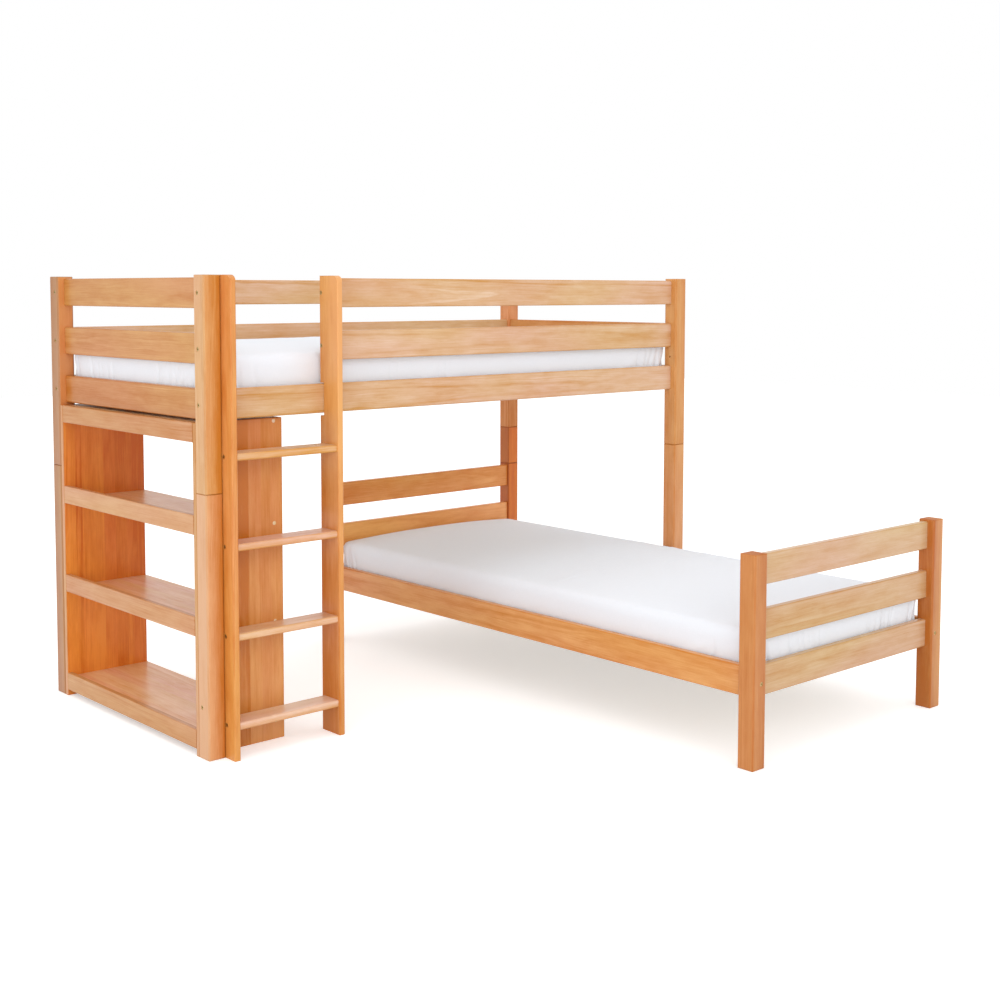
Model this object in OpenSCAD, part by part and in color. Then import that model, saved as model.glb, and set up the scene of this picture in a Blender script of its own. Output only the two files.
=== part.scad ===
// L shaped bunk bed: a high bed, a low bed set across it, a ladder and a bookcase.
// Millimetres, +Z up. X runs along the high bed, Y away from the foot of the low bed.
// The origin is on the floor at the middle of the whole plan.

/* [Bed size] */
// Outside length of each bed, along its long side
bed_len = 2106; // [1900:1:2200]
// Outside width of each bed, across its short side
bed_w = 996; // [800:1:1200]

/* [Posts] */
// Width of the square posts
post = 57; // [52:0.5:66]
// Rounding of the upright edges of the posts
post_round = 6; // [3:0.5:9]
// Rounding of the post ends
post_end_round = 4; // [1:0.5:6]
// Height of the legs under the high bed
leg_h = 783; // [730:1:900]
// Height of the high bed's own posts
upper_post_h = 634; // [600:1:760]
// Height of the low bed's posts
lower_post_h = 626; // [590:1:690]
// Radius of the steel pins between stacked posts
pin_r = 6; // [4:0.5:8]
// Length of the steel pins between stacked posts
pin_len = 56; // [40:1:58]

/* [Rails] */
// Thickness of every rail
rail_t = 24; // [20:0.5:26]
// Height of every rail
rail_h = 90; // [80:1:100]
// Distance from one rail to the next, centre to centre
rail_pitch = 162; // [150:1:170]
// Distance from the posts' outer faces to the rails
rail_inset = 24; // [18:0.5:25]
// Distance from the post tops down to the top rails
rail_drop = 7; // [4:0.5:20]
// Rounding of the rails' long edges
rail_round = 4; // [1:0.5:6]

/* [Ladder] */
// Clear width between the ladder's stiles
ladder_clear = 355; // [300:1:420]
// Thickness of the ladder's stiles
stile_t = 20; // [18:0.5:26]
// Distance the stiles stand in front of the posts
stile_front = 50; // [40:1:60]
// Distance the stiles reach back from the posts' front faces
stile_back = 44; // [43:0.5:46]
// Rounding of the stiles' edges
stile_round = 4; // [1:0.5:6]
// Rounding of the stiles' top front corners
stile_top_round = 24; // [8:1:35]
// Play under the side rail in the stile notches
notch_play = 9; // [2:0.5:12]
// Thickness of the ladder rungs
rung_t = 22; // [19:0.5:26]
// Depth of the ladder rungs, front to back
rung_d = 78; // [64:1:80]
// Distance the rungs are set back from the stiles' front edges
rung_set = 6; // [4:0.5:10]
// Height of the first rung's top above the floor
rung_first = 110; // [90:1:140]
// Distance from one rung to the next
rung_pitch = 264; // [230:1:268]
// Rounding of the rungs' long edges
rung_round = 5; // [2:0.5:8]

/* [Bookcase] */
// Depth of the bookcase's side panels
case_d = 298; // [220:1:400]
// Thickness of the side panels and the shelves
board_t = 18; // [15:0.5:22]
// Distance the bookcase is set back from the posts' outer faces
case_set = 2; // [0:0.5:10]
// Gap between the bookcase and the posts on each side
case_gap = 0.5; // [0.3:0.1:5]
// Gap between the bookcase and the rail above it
case_top_gap = 8; // [4:0.5:20]
// Rounding of the bookcase's front edges
case_round = 2.5; // [1:0.5:5]
// Height of the shelves' front lips
lip_h = 58; // [40:1:70]
// Thickness of the shelves' front lips
lip_t = 18; // [15:0.5:22]
// Height of the lower middle shelf's underside
shelf_low_z = 357; // [300:1:400]
// Height of the upper middle shelf's underside
shelf_high_z = 658; // [600:1:690]
// Height of the bottom lip's underside
lip_foot_z = 20; // [10:1:40]
// Distance the bottom shelf lies below its lip's top
shelf_foot_drop = 12; // [6:1:20]
// Radius of the bookcase screws
screw_r = 2.5; // [2:0.5:3]
// Radius of the bookcase screws' caps
cap_r = 6; // [4:0.5:7]
// Length of the bookcase screws
screw_len = 50; // [40:1:60]

/* [Slats] */
// Width of the ledges under the slats
ledge_w = 25; // [20:0.5:30]
// Height of the ledges under the slats
ledge_h = 20; // [16:0.5:24]
// Thickness of the slats
slat_t = 18; // [15:0.5:20]
// Width of each slat
slat_w = 72; // [60:1:80]
// Number of slats in each bed
slat_count = 14; // [11:1:15]
// Width of the webbing tapes under the slats
tape_w = 22; // [15:1:30]
// Thickness of the webbing tapes
tape_t = 1; // [0.8:0.1:1.4]

/* [Mattress] */
// Height of each mattress with its sheet
mattress_h = 170; // [120:1:190]
// Length play of each mattress between the end rails
mattress_play = 14; // [8:1:30]
// Width play of each mattress beside a post
side_play = 3; // [3:0.5:8]
// Gap between the low mattress and the high bed's leg beside it
leg_gap = 1; // [0.5:0.5:2]
// Radius of the mattress corners
mattress_corner = 28; // [20:1:70]
// Height of the crown in the middle of each mattress
crown = 22; // [3:0.5:30]
// Thickness of the fitted sheets
sheet_t = 0.8; // [0.6:0.1:1.2]
// Width of the sheet's hem under the mattress
hem_w = 60; // [30:1:90]

/* [Fasteners] */
// Radius of the bed bolts' shanks
bolt_r = 4; // [3:0.5:4]
// Radius of the bed bolts' heads
head_r = 6.5; // [6:0.5:7]
// Thickness of the bed bolts' heads
head_t = 5; // [4:0.5:6]
// Depth of a bolt head below the surface
head_sink = 1; // [0.5:0.5:2]
// Distance a bolt reaches into a rail or rung
bolt_reach = 46; // [42:1:50]
// Radius of the barrel nuts
nut_r = 6; // [5:0.5:6.5]
// Distance of the barrel nuts from the rail ends
nut_in = 36; // [34:1:38]
// Radius of the wooden dowels
dowel_r = 4; // [3:0.5:4]
// Length of the wooden dowels
dowel_len = 50; // [36:1:56]
// Clearance of bolts, nuts and pins in their holes
hole_play = 0.2; // [0.1:0.05:0.3]

/* [Hidden] */
$fn = 48;
e = 0.01;                                   // overlap used only inside cutting tools
bed_top = leg_h + upper_post_h;             // top of the high bed's posts
up_rail_top = bed_top - rail_drop;
low_rail_top = lower_post_h - rail_drop;
up_z1 = up_rail_top - rail_h;               // undersides of the rails: top, middle, bottom
up_z2 = up_z1 - rail_pitch;
up_z3 = up_z2 - rail_pitch;
low_z1 = low_rail_top - rail_h;
low_z2 = low_z1 - rail_pitch;
low_z3 = low_z2 - rail_pitch;
rail_in = rail_inset + rail_t;              // inner face of a rail, from the outside
rail_mid = rail_inset + rail_t / 2;
low_x = bed_len - bed_w;                    // left side of the low bed
low_y = bed_w - bed_len;                    // foot of the low bed
mid_x = bed_len / 2;
mid_y = bed_w - bed_len / 2;
stile1_x = post;                            // left faces of the stiles
stile2_x = post + stile_t + ladder_clear;
guard_x = stile2_x + stile_t;
clear_w = bed_w - 2 * rail_in;
clear_len = bed_len - 2 * rail_in;
post_step = post - rail_in;                 // how far a post stands inside the rails
mattress_w = clear_w - post_step - side_play;
mattress_len = clear_len - mattress_play;
soft_gap = 0.3;
up_slat_z = up_z3 + ledge_h;
low_slat_z = low_z3 + ledge_h;
case_y1 = post + case_gap;
case_y2 = bed_w - post - case_gap;
case_h = up_z3 - case_top_gap;
case_in = case_y2 - case_y1 - 2 * board_t;
lip_top_z = case_h - lip_h;
shelf_foot_z = lip_foot_z + lip_h - shelf_foot_drop - board_t;
dowel_far = rail_h * 0.37;                  // dowel heights from a rail's middle, bolted rails
dowel_near = rail_h * 0.17;                 // the same, glued end rails
foot_bolt_z = 154;
spare_z = up_z3 + rail_h + 34;
notch_z = low_z3 - 1;                       // notch of the front right leg over the low bed's rail
notch_h = rail_h + 2;
leg_bolt_z = low_z3 + rail_h / 2;
dowel_in_stile = stile_t - 6;               // how deep a dowel sits in a stile
end_gap = 3;                                // from the posts to the ledges and the end slats
slat_run = bed_len - 2 * (post + end_gap);
slat_step = (slat_run - slat_w) / (slat_count - 1);
up_soft_y = (bed_w - mattress_w) / 2;
low_soft_x = bed_len - post - leg_gap - mattress_w;

wood = [0.86, 0.62, 0.40];
wood_dark = [0.80, 0.54, 0.33];
wood_pale = [0.90, 0.74, 0.54];
steel = [0.72, 0.62, 0.40];
white = [0.93, 0.93, 0.95];

// ---------- shapes shared by the pieces ----------

// everything is drawn from the high bed's front left corner, then moved to the origin
module place() { translate([-mid_x, -mid_y, 0]) children(); }

// rectangle with round corners, its lower left corner at the origin
module round_rect(w, h, r) {
  translate([r, 0]) square([w - 2 * r, h]);
  translate([0, r]) square([w, h - 2 * r]);
  for (x = [r, w - r], y = [r, h - r]) translate([x, y]) circle(r);
}

// square post with round edges and softened ends, its lower corner at the origin
module post_block(h) {
  intersection() {
    linear_extrude(h) round_rect(post, post, post_round);
    translate([0, post, 0]) rotate([90, 0, 0]) linear_extrude(post) round_rect(post, h, post_end_round);
    rotate([90, 0, 90]) linear_extrude(post) round_rect(post, h, post_end_round);
  }
}

// rail along X, its lower front corner at the origin
module rail_x(len) { rotate([90, 0, 90]) linear_extrude(len) round_rect(rail_t, rail_h, rail_round); }

// rail along Y, its lower left corner at the origin
module rail_y(len) {
  translate([0, len, 0]) rotate([90, 0, 0]) linear_extrude(len) round_rect(rail_t, rail_h, rail_round);
}

module rod_x(x1, x2, y, z, r) { translate([x1, y, z]) rotate([0, 90, 0]) cylinder(h = x2 - x1, r = r); }
module rod_y(y1, y2, x, z, r) { translate([x, y2, z]) rotate([90, 0, 0]) cylinder(h = y2 - y1, r = r); }
module rod_z(z1, z2, x, y, r) { translate([x, y, z1]) cylinder(h = z2 - z1, r = r); }

// bolt with a sunk head that starts at the origin and runs along +X for len
module bolt(len) {
  difference() {
    rod_x(head_sink, head_sink + head_t, 0, 0, head_r);
    translate([head_sink - e, 0, 0]) rotate([0, 90, 0]) cylinder(h = 3, r = 2.9, $fn = 6);
  }
  rod_x(head_sink + head_t, len, 0, 0, bolt_r);
}

// hole for that bolt: head recess and shank
module bolt_hole(len) {
  rod_x(-1, head_sink + head_t, 0, 0, head_r + hole_play);
  rod_x(0, len + hole_play, 0, 0, bolt_r + hole_play);
}

// ---------- joints: where they are ----------

// bolted rail ends along X: children start at the post's outer face and run inwards
module back_left_joints() {
  for (z = [up_z1, up_z2, up_z3]) translate([0, bed_w - rail_mid, z + rail_h / 2]) children();
}
module back_right_joints() { translate([bed_len, 0, 0]) mirror([1, 0, 0]) back_left_joints() children(); }
module side_left_joint() { translate([0, rail_mid, up_z3 + rail_h / 2]) children(); }
module side_right_joint() { translate([bed_len, 0, 0]) mirror([1, 0, 0]) side_left_joint() children(); }
module guard_right_joints() {
  for (z = [up_z1, up_z2]) translate([bed_len, rail_mid, z + rail_h / 2]) mirror([1, 0, 0]) children();
}
module guard_left_joints() {
  for (z = [up_z1, up_z2]) translate([stile2_x, rail_mid, z + rail_h / 2]) children();
}
// bolts through the front left post into the ladder's left stile
module stile_post_joints() {
  for (z = [up_z1, up_z2]) translate([0, rail_mid, z + rail_h / 2]) children();
}
module stile_foot_joint() { translate([0, rail_mid, foot_bolt_z]) children(); }
// bolted side rails of the low bed: s = 0 is the left rail, s = 1 the right one
function side_x(s) = s == 0 ? low_x + rail_mid : bed_len - rail_mid;
module foot_joint(s) { translate([side_x(s), low_y, low_z3 + rail_h / 2]) rotate([0, 0, 90]) children(); }
module head_joint(s) { translate([side_x(s), bed_w, low_z3 + rail_h / 2]) rotate([0, 0, -90]) children(); }
// bolts of the front right leg into the low bed's right rail
module leg_joints() {
  for (s = [-1, 1])
    translate([bed_len, post / 2, leg_bolt_z + s * rail_h / 4]) mirror([1, 0, 0]) children();
}
rung_y = rung_set - stile_front + rung_d / 2;
function rung_z(i) = rung_first + (i - 1) * rung_pitch - rung_t / 2;
module rung_left_joint(i) { translate([stile1_x, rung_y, rung_z(i)]) children(); }
module rung_right_joint(i) { translate([guard_x, rung_y, rung_z(i)]) mirror([1, 0, 0]) children(); }

// ---------- joints: what is in them ----------

rail_bolt_len = post + bolt_reach;
stile_bolt_len = stile_t + bolt_reach;

module rail_nut(start, side) {
  difference() {
    rod_y(-rail_t / 2 + (side > 0 ? 3 : 1), rail_t / 2 - (side > 0 ? 1 : 3), start + nut_in, 0, nut_r);
    rod_x(start, start + bolt_reach + 1, 0, 0, bolt_r + hole_play / 4);
  }
}
module rail_nut_hole(start, side) {
  y1 = -rail_t / 2 + (side > 0 ? 2 : -1);
  rod_y(y1, y1 + rail_t - 1, start + nut_in, 0, nut_r + hole_play);
}
module rail_dowels(x1, r) { for (s = [-1, 1]) rod_x(x1, x1 + dowel_len, 0, s * dowel_far, r); }
dowel_hole_r = dowel_r + hole_play / 4;

module bolted_holes(side) {
  bolt_hole(rail_bolt_len);
  rail_nut_hole(post, side);
  rail_dowels(post - dowel_len / 2, dowel_hole_r);
}
module guard_left_holes() {
  bolt_hole(stile_bolt_len);
  rail_nut_hole(stile_t, 1);
  rail_dowels(stile_t - dowel_in_stile, dowel_hole_r);
}
module stile_nut_holes() {
  bolt_hole(post + stile_t);
  rod_x(post + 8, post + stile_t + 1, 0, 0, nut_r + hole_play);
}
module leg_bolt_holes() { bolt_hole(rail_in - 4); }
module rung_nut() {
  difference() {
    rod_z(-rung_t / 2 + 1, rung_t / 2 - 4, stile_t + nut_in, 0, nut_r);
    rod_x(stile_t, stile_t + bolt_reach + 1, 0, 0, bolt_r + hole_play / 4);
  }
}
module rung_dowels(r) {
  x1 = stile_t - dowel_in_stile;
  for (s = [-1, 1]) rod_x(x1, x1 + dowel_len, s * rung_d / 3, 0, r);
}
module rung_holes() {
  bolt_hole(stile_bolt_len);
  rod_z(-rung_t / 2 - 1, rung_t / 2 - 3, stile_t + nut_in, 0, nut_r + hole_play);
  rung_dowels(dowel_hole_r);
}
// glued dowels between an end rail and its two posts, rail along Y or along X
module end_dowels_y(x, z, r) {
  for (y = [post, bed_w - post], s = [-1, 1])
    rod_y(y - dowel_len / 2, y + dowel_len / 2, x, z + rail_h / 2 + s * dowel_near, r);
}
module end_dowels_x(y, z, r) {
  for (x = [low_x + post, bed_len - post], s = [-1, 1])
    rod_x(x - dowel_len / 2, x + dowel_len / 2, y, z + rail_h / 2 + s * dowel_near, r);
}
module pin_at(x, y, z, r) { rod_z(z - pin_len / 2, z + pin_len / 2, x + post / 2, y + post / 2, r); }
pin_hole_r = pin_r + hole_play;
back_y = bed_w - post;
right_x = bed_len - post;

// ---------- high bed: posts ----------

module post_at(x, y, z, h) { translate([x, y, z]) post_block(h); }

module post_front_left_leg() {
  color(wood) place() difference() {
    post_at(0, 0, 0, leg_h);
    pin_at(0, 0, leg_h, pin_hole_r);
    stile_foot_joint() stile_nut_holes();
  }
}
module post_front_left_upper() {
  color(wood) place() difference() {
    post_at(0, 0, leg_h, upper_post_h);
    pin_at(0, 0, leg_h, pin_hole_r);
    stile_post_joints() stile_nut_holes();
    side_left_joint() bolted_holes(1);
    for (z = [up_z1, up_z2, up_z3]) end_dowels_y(rail_mid, z, dowel_hole_r);
  }
}
module post_back_left_leg() {
  color(wood) place() difference() {
    post_at(0, back_y, 0, leg_h);
    pin_at(0, back_y, leg_h, pin_hole_r);
  }
}
module post_back_left_upper() {
  color(wood) place() difference() {
    post_at(0, back_y, leg_h, upper_post_h);
    pin_at(0, back_y, leg_h, pin_hole_r);
    back_left_joints() bolted_holes(-1);
    for (z = [up_z1, up_z2, up_z3]) end_dowels_y(rail_mid, z, dowel_hole_r);
  }
}
// the leg is cut out on its inner side, over the low bed's side rail
module post_front_right_leg() {
  color(wood) place() difference() {
    post_at(right_x, 0, 0, leg_h);
    pin_at(right_x, 0, leg_h, pin_hole_r);
    translate([right_x - 1, -1, notch_z]) cube([post - rail_inset + 1, post + 2, notch_h]);
    leg_joints() leg_bolt_holes();
  }
}
module post_front_right_upper() {
  color(wood) place() difference() {
    post_at(right_x, 0, leg_h, upper_post_h);
    pin_at(right_x, 0, leg_h, pin_hole_r);
    side_right_joint() bolted_holes(1);
    guard_right_joints() bolted_holes(1);
    for (z = [up_z1, up_z2, up_z3]) end_dowels_y(bed_len - rail_mid, z, dowel_hole_r);
    rod_x(right_x - 1, right_x + 12, post / 2, spare_z, dowel_r);
  }
}
module post_back_right_spacer() {
  color(wood) place() difference() {
    post_at(right_x, back_y, lower_post_h, leg_h - lower_post_h);
    pin_at(right_x, back_y, leg_h, pin_hole_r);
    pin_at(right_x, back_y, lower_post_h, pin_hole_r);
  }
}
module post_back_right_upper() {
  color(wood) place() difference() {
    post_at(right_x, back_y, leg_h, upper_post_h);
    pin_at(right_x, back_y, leg_h, pin_hole_r);
    back_right_joints() bolted_holes(-1);
    for (z = [up_z1, up_z2, up_z3]) end_dowels_y(bed_len - rail_mid, z, dowel_hole_r);
  }
}
module post_pins() {
  color(steel) place() {
    pin_at(0, 0, leg_h, pin_r);
    pin_at(0, back_y, leg_h, pin_r);
    pin_at(right_x, 0, leg_h, pin_r);
    pin_at(right_x, back_y, leg_h, pin_r);
    pin_at(right_x, back_y, lower_post_h, pin_r);
  }
}

// ---------- high bed: rails ----------

module end_rail_at(x, z) {
  difference() {
    translate([x, post, z]) rail_y(bed_w - 2 * post);
    end_dowels_y(x + rail_t / 2, z, dowel_hole_r);
  }
}
module left_end_rail_top() { color(wood_pale) place() end_rail_at(rail_inset, up_z1); }
module left_end_rail_middle() { color(wood_pale) place() end_rail_at(rail_inset, up_z2); }
module left_end_rail_bottom() { color(wood_pale) place() end_rail_at(rail_inset, up_z3); }
module right_end_rail_top() { color(wood) place() end_rail_at(bed_len - rail_in, up_z1); }
module right_end_rail_middle() { color(wood) place() end_rail_at(bed_len - rail_in, up_z2); }
module right_end_rail_bottom() { color(wood) place() end_rail_at(bed_len - rail_in, up_z3); }

module back_rail_at(z) {
  difference() {
    translate([post, bed_w - rail_in, z]) rail_x(bed_len - 2 * post);
    back_left_joints() bolted_holes(-1);
    back_right_joints() bolted_holes(-1);
  }
}
module back_rail_top() { color(wood) place() back_rail_at(up_z1); }
module back_rail_middle() { color(wood) place() back_rail_at(up_z2); }
module back_rail_bottom() { color(wood) place() back_rail_at(up_z3); }

module guard_rail_at(z) {
  difference() {
    translate([guard_x, rail_inset, z]) rail_x(right_x - guard_x);
    guard_right_joints() bolted_holes(1);
    guard_left_joints() guard_left_holes();
  }
}
module guard_rail_top() { color(wood_pale) place() guard_rail_at(up_z1); }
module guard_rail_middle() { color(wood_pale) place() guard_rail_at(up_z2); }

module front_side_rail() {
  color(wood_pale) place() difference() {
    translate([post, rail_inset, up_z3]) rail_x(bed_len - 2 * post);
    side_left_joint() bolted_holes(1);
    side_right_joint() bolted_holes(1);
  }
}

// ---------- ladder ----------

// side view of a stile: Y to the right, Z up, with the notch for the side rail
module stile_side() {
  depth = stile_front + stile_back;
  difference() {
    union() {
      square([depth, bed_top - stile_top_round]);
      translate([stile_top_round, 0]) square([depth - stile_top_round, bed_top]);
      translate([stile_top_round, bed_top - stile_top_round]) circle(stile_top_round);
    }
    translate([stile_front + rail_inset - 1, up_z3 - notch_play]) square([depth, rail_h + notch_play + 3]);
  }
}
module stile_at(x) {
  depth = stile_front + stile_back;
  intersection() {
    translate([x, -stile_front, 0]) rotate([90, 0, 90]) linear_extrude(stile_t) stile_side();
    translate([x, -stile_front, 0]) linear_extrude(bed_top) round_rect(stile_t, depth, stile_round);
  }
}
module ladder_stile_left() {
  color(wood_dark) place() difference() {
    stile_at(stile1_x);
    stile_post_joints() stile_nut_holes();
    stile_foot_joint() stile_nut_holes();
    for (i = [1 : 4]) rung_left_joint(i) rung_holes();
  }
}
module ladder_stile_right() {
  color(wood_dark) place() difference() {
    stile_at(stile2_x);
    guard_left_joints() guard_left_holes();
    for (i = [1 : 4]) rung_right_joint(i) rung_holes();
  }
}
module rung_at(i) {
  difference() {
    translate([stile1_x + stile_t, rung_y - rung_d / 2, rung_z(i) - rung_t / 2])
      rotate([90, 0, 90]) linear_extrude(ladder_clear) round_rect(rung_d, rung_t, rung_round);
    rung_left_joint(i) rung_holes();
    rung_right_joint(i) rung_holes();
  }
}
module ladder_rung_1() { color(wood_pale) place() rung_at(1); }
module ladder_rung_2() { color(wood_pale) place() rung_at(2); }
module ladder_rung_3() { color(wood_pale) place() rung_at(3); }
module ladder_rung_4() { color(wood_pale) place() rung_at(4); }

module ladder_bolts() {
  color(steel) place() {
    for (i = [1 : 4]) {
      rung_left_joint(i) bolt(stile_bolt_len);
      rung_right_joint(i) bolt(stile_bolt_len);
    }
    guard_left_joints() bolt(stile_bolt_len);
    stile_post_joints() bolt(post + stile_t - 4);
    stile_foot_joint() bolt(post + stile_t - 4);
    leg_joints() bolt(rail_in - 4);
  }
}

// ---------- low bed ----------

module lower_head_post_right() {
  color(wood) place() difference() {
    post_at(right_x, back_y, 0, lower_post_h);
    pin_at(right_x, back_y, lower_post_h, pin_hole_r);
    head_joint(1) bolted_holes(-1);
    for (z = [low_z1, low_z2, low_z3]) end_dowels_x(bed_w - rail_mid, z, dowel_hole_r);
  }
}
module lower_head_post_left() {
  color(wood) place() difference() {
    post_at(low_x, back_y, 0, lower_post_h);
    head_joint(0) bolted_holes(1);
    for (z = [low_z1, low_z2, low_z3]) end_dowels_x(bed_w - rail_mid, z, dowel_hole_r);
  }
}
module lower_foot_post_left() {
  color(wood_dark) place() difference() {
    post_at(low_x, low_y, 0, lower_post_h);
    foot_joint(0) bolted_holes(-1);
    for (z = [low_z1, low_z2, low_z3]) end_dowels_x(low_y + rail_mid, z, dowel_hole_r);
  }
}
module lower_foot_post_right() {
  color(wood_dark) place() difference() {
    post_at(right_x, low_y, 0, lower_post_h);
    foot_joint(1) bolted_holes(1);
    for (z = [low_z1, low_z2, low_z3]) end_dowels_x(low_y + rail_mid, z, dowel_hole_r);
  }
}
module low_end_rail_at(y, z) {
  difference() {
    translate([low_x + post, y, z]) rail_x(bed_w - 2 * post);
    end_dowels_x(y + rail_t / 2, z, dowel_hole_r);
  }
}
module lower_head_rail_top() { color(wood) place() low_end_rail_at(bed_w - rail_in, low_z1); }
module lower_head_rail_middle() { color(wood) place() low_end_rail_at(bed_w - rail_in, low_z2); }
module lower_head_rail_bottom() { color(wood) place() low_end_rail_at(bed_w - rail_in, low_z3); }
module lower_foot_rail_top() { color(wood_pale) place() low_end_rail_at(low_y + rail_inset, low_z1); }
module lower_foot_rail_middle() { color(wood_pale) place() low_end_rail_at(low_y + rail_inset, low_z2); }
module lower_foot_rail_bottom() { color(wood_pale) place() low_end_rail_at(low_y + rail_inset, low_z3); }

module lower_side_rail_left() {
  color(wood) place() difference() {
    translate([low_x + rail_inset, low_y + post, low_z3]) rail_y(bed_len - 2 * post);
    foot_joint(0) bolted_holes(-1);
    head_joint(0) bolted_holes(1);
  }
}
module lower_side_rail_right() {
  color(wood) place() difference() {
    translate([bed_len - rail_in, low_y + post, low_z3]) rail_y(bed_len - 2 * post);
    foot_joint(1) bolted_holes(1);
    head_joint(1) bolted_holes(-1);
    leg_joints() leg_bolt_holes();
  }
}

// ---------- hardware in the wood ----------

module bed_bolts() {
  color(steel) place() {
    back_left_joints() bolt(rail_bolt_len);
    back_right_joints() bolt(rail_bolt_len);
    side_left_joint() bolt(rail_bolt_len);
    side_right_joint() bolt(rail_bolt_len);
    guard_right_joints() bolt(rail_bolt_len);
    for (s = [0, 1]) {
      foot_joint(s) bolt(rail_bolt_len);
      head_joint(s) bolt(rail_bolt_len);
    }
  }
}
module barrel_nuts() {
  color(steel) place() {
    back_left_joints() rail_nut(post, -1);
    back_right_joints() rail_nut(post, -1);
    side_left_joint() rail_nut(post, 1);
    side_right_joint() rail_nut(post, 1);
    guard_right_joints() rail_nut(post, 1);
    guard_left_joints() rail_nut(stile_t, 1);
    foot_joint(0) rail_nut(post, -1);
    foot_joint(1) rail_nut(post, 1);
    head_joint(0) rail_nut(post, 1);
    head_joint(1) rail_nut(post, -1);
    for (i = [1 : 4]) {
      rung_left_joint(i) rung_nut();
      rung_right_joint(i) rung_nut();
    }
    stile_post_joints() stile_nut();
    stile_foot_joint() stile_nut();
  }
}
module stile_nut() {
  difference() {
    rod_x(post + 8 + hole_play, post + stile_t - 1, 0, 0, nut_r);
    rod_x(post, post + stile_t - 4 + hole_play, 0, 0, bolt_r + hole_play / 4);
  }
}
module wood_dowels() {
  color(wood_pale) place() {
    for (z = [up_z1, up_z2, up_z3], x = [rail_mid, bed_len - rail_mid]) end_dowels_y(x, z, dowel_r);
    for (z = [low_z1, low_z2, low_z3], y = [bed_w, low_y + 2 * rail_mid]) end_dowels_x(y - rail_mid, z, dowel_r);
    back_left_joints() rail_dowels(post - dowel_len / 2, dowel_r);
    back_right_joints() rail_dowels(post - dowel_len / 2, dowel_r);
    side_left_joint() rail_dowels(post - dowel_len / 2, dowel_r);
    side_right_joint() rail_dowels(post - dowel_len / 2, dowel_r);
    guard_right_joints() rail_dowels(post - dowel_len / 2, dowel_r);
    guard_left_joints() rail_dowels(stile_t - dowel_in_stile, dowel_r);
    for (s = [0, 1]) {
      foot_joint(s) rail_dowels(post - dowel_len / 2, dowel_r);
      head_joint(s) rail_dowels(post - dowel_len / 2, dowel_r);
    }
    for (i = [1 : 4]) {
      rung_left_joint(i) rung_dowels(dowel_r);
      rung_right_joint(i) rung_dowels(dowel_r);
    }
  }
}

// ---------- slats ----------

module slat_ledges() {
  color(wood_pale) place() {
    for (y = [rail_in, bed_w - rail_in - ledge_w])
      translate([post + end_gap, y, up_z3]) cube([slat_run, ledge_w, ledge_h]);
    for (x = [low_x + rail_in, bed_len - rail_in - ledge_w])
      translate([x, low_y + post + end_gap, low_z3]) cube([ledge_w, slat_run, ledge_h]);
  }
}

// one slat, its long side along Y, with softened edges
module slat() {
  translate([0, mattress_w, 0]) rotate([90, 0, 0]) linear_extrude(mattress_w) round_rect(slat_w, slat_t, 3);
}
module upper_slats() {
  color(wood_pale) place() for (i = [0 : slat_count - 1])
    translate([post + end_gap + i * slat_step, up_soft_y, up_slat_z]) slat();
}
module lower_slats() {
  color(wood_pale) place() for (i = [0 : slat_count - 1])
    translate([low_soft_x, low_y + post + end_gap + i * slat_step + slat_w, low_slat_z])
      rotate([0, 0, -90]) slat();
}
tape_in = ledge_w + 60;
module upper_slat_tapes() {
  color(white) place() for (y = [up_soft_y + tape_in, up_soft_y + mattress_w - tape_in - tape_w])
    translate([post + end_gap, y, up_slat_z - tape_t]) cube([slat_run, tape_w, tape_t]);
}
module lower_slat_tapes() {
  color(white) place() for (x = [low_soft_x + tape_in, low_soft_x + mattress_w - tape_in - tape_w])
    translate([x, low_y + post + end_gap, low_slat_z - tape_t]) cube([tape_w, slat_run, tape_t]);
}

// ---------- mattresses ----------

arc_n = 6;
ring_n = 4 * (arc_n + 1);
edge_h = mattress_h - crown;
// one ring of the mattress: a rounded rectangle drawn in by d at height z
function ring(d, z) = [for (q = [0 : 3], i = [0 : arc_n])
  let (a = 90 * q + 90 * i / arc_n, r = max(mattress_corner - d, 3))
  [(q == 0 || q == 3 ? mattress_len - d - r : d + r) + r * cos(a),
   (q < 2 ? mattress_w - d - r : d + r) + r * sin(a), z]];
// how far each ring is drawn in, and its height, from the hem up over the side to the crown
profile = [[hem_w, 0], [24, 0], [9, 3], [2, 11], [0, 24], [4, edge_h * 0.5], [0, edge_h - 26],
  [2, edge_h - 12], [9, edge_h - 4], [24, edge_h], [70, edge_h + crown * 0.4],
  [150, edge_h + crown * 0.75], [270, edge_h + crown * 0.95]];
rings_n = len(profile);
function shell_z(t, z) = t + z * (mattress_h - 2 * t) / mattress_h;
function shell_pts(t) = [for (p = profile) each ring(p[0] + t, shell_z(t, p[1]))];
function centre_pt(z) = [mattress_len / 2, mattress_w / 2, z];
function side_faces(k, flip) = [for (i = [0 : rings_n - 2], j = [0 : ring_n - 1])
  let (a = k + i * ring_n + j, b = k + i * ring_n + (j + 1) % ring_n, c = a + ring_n, d = b + ring_n)
  each flip ? [[a, d, c], [a, b, d]] : [[a, c, d], [a, d, b]]];
function cap_faces(k, centre, flip) = [for (j = [0 : ring_n - 1])
  let (a = k + j, b = k + (j + 1) % ring_n) flip ? [a, b, centre] : [b, a, centre]];

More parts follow.
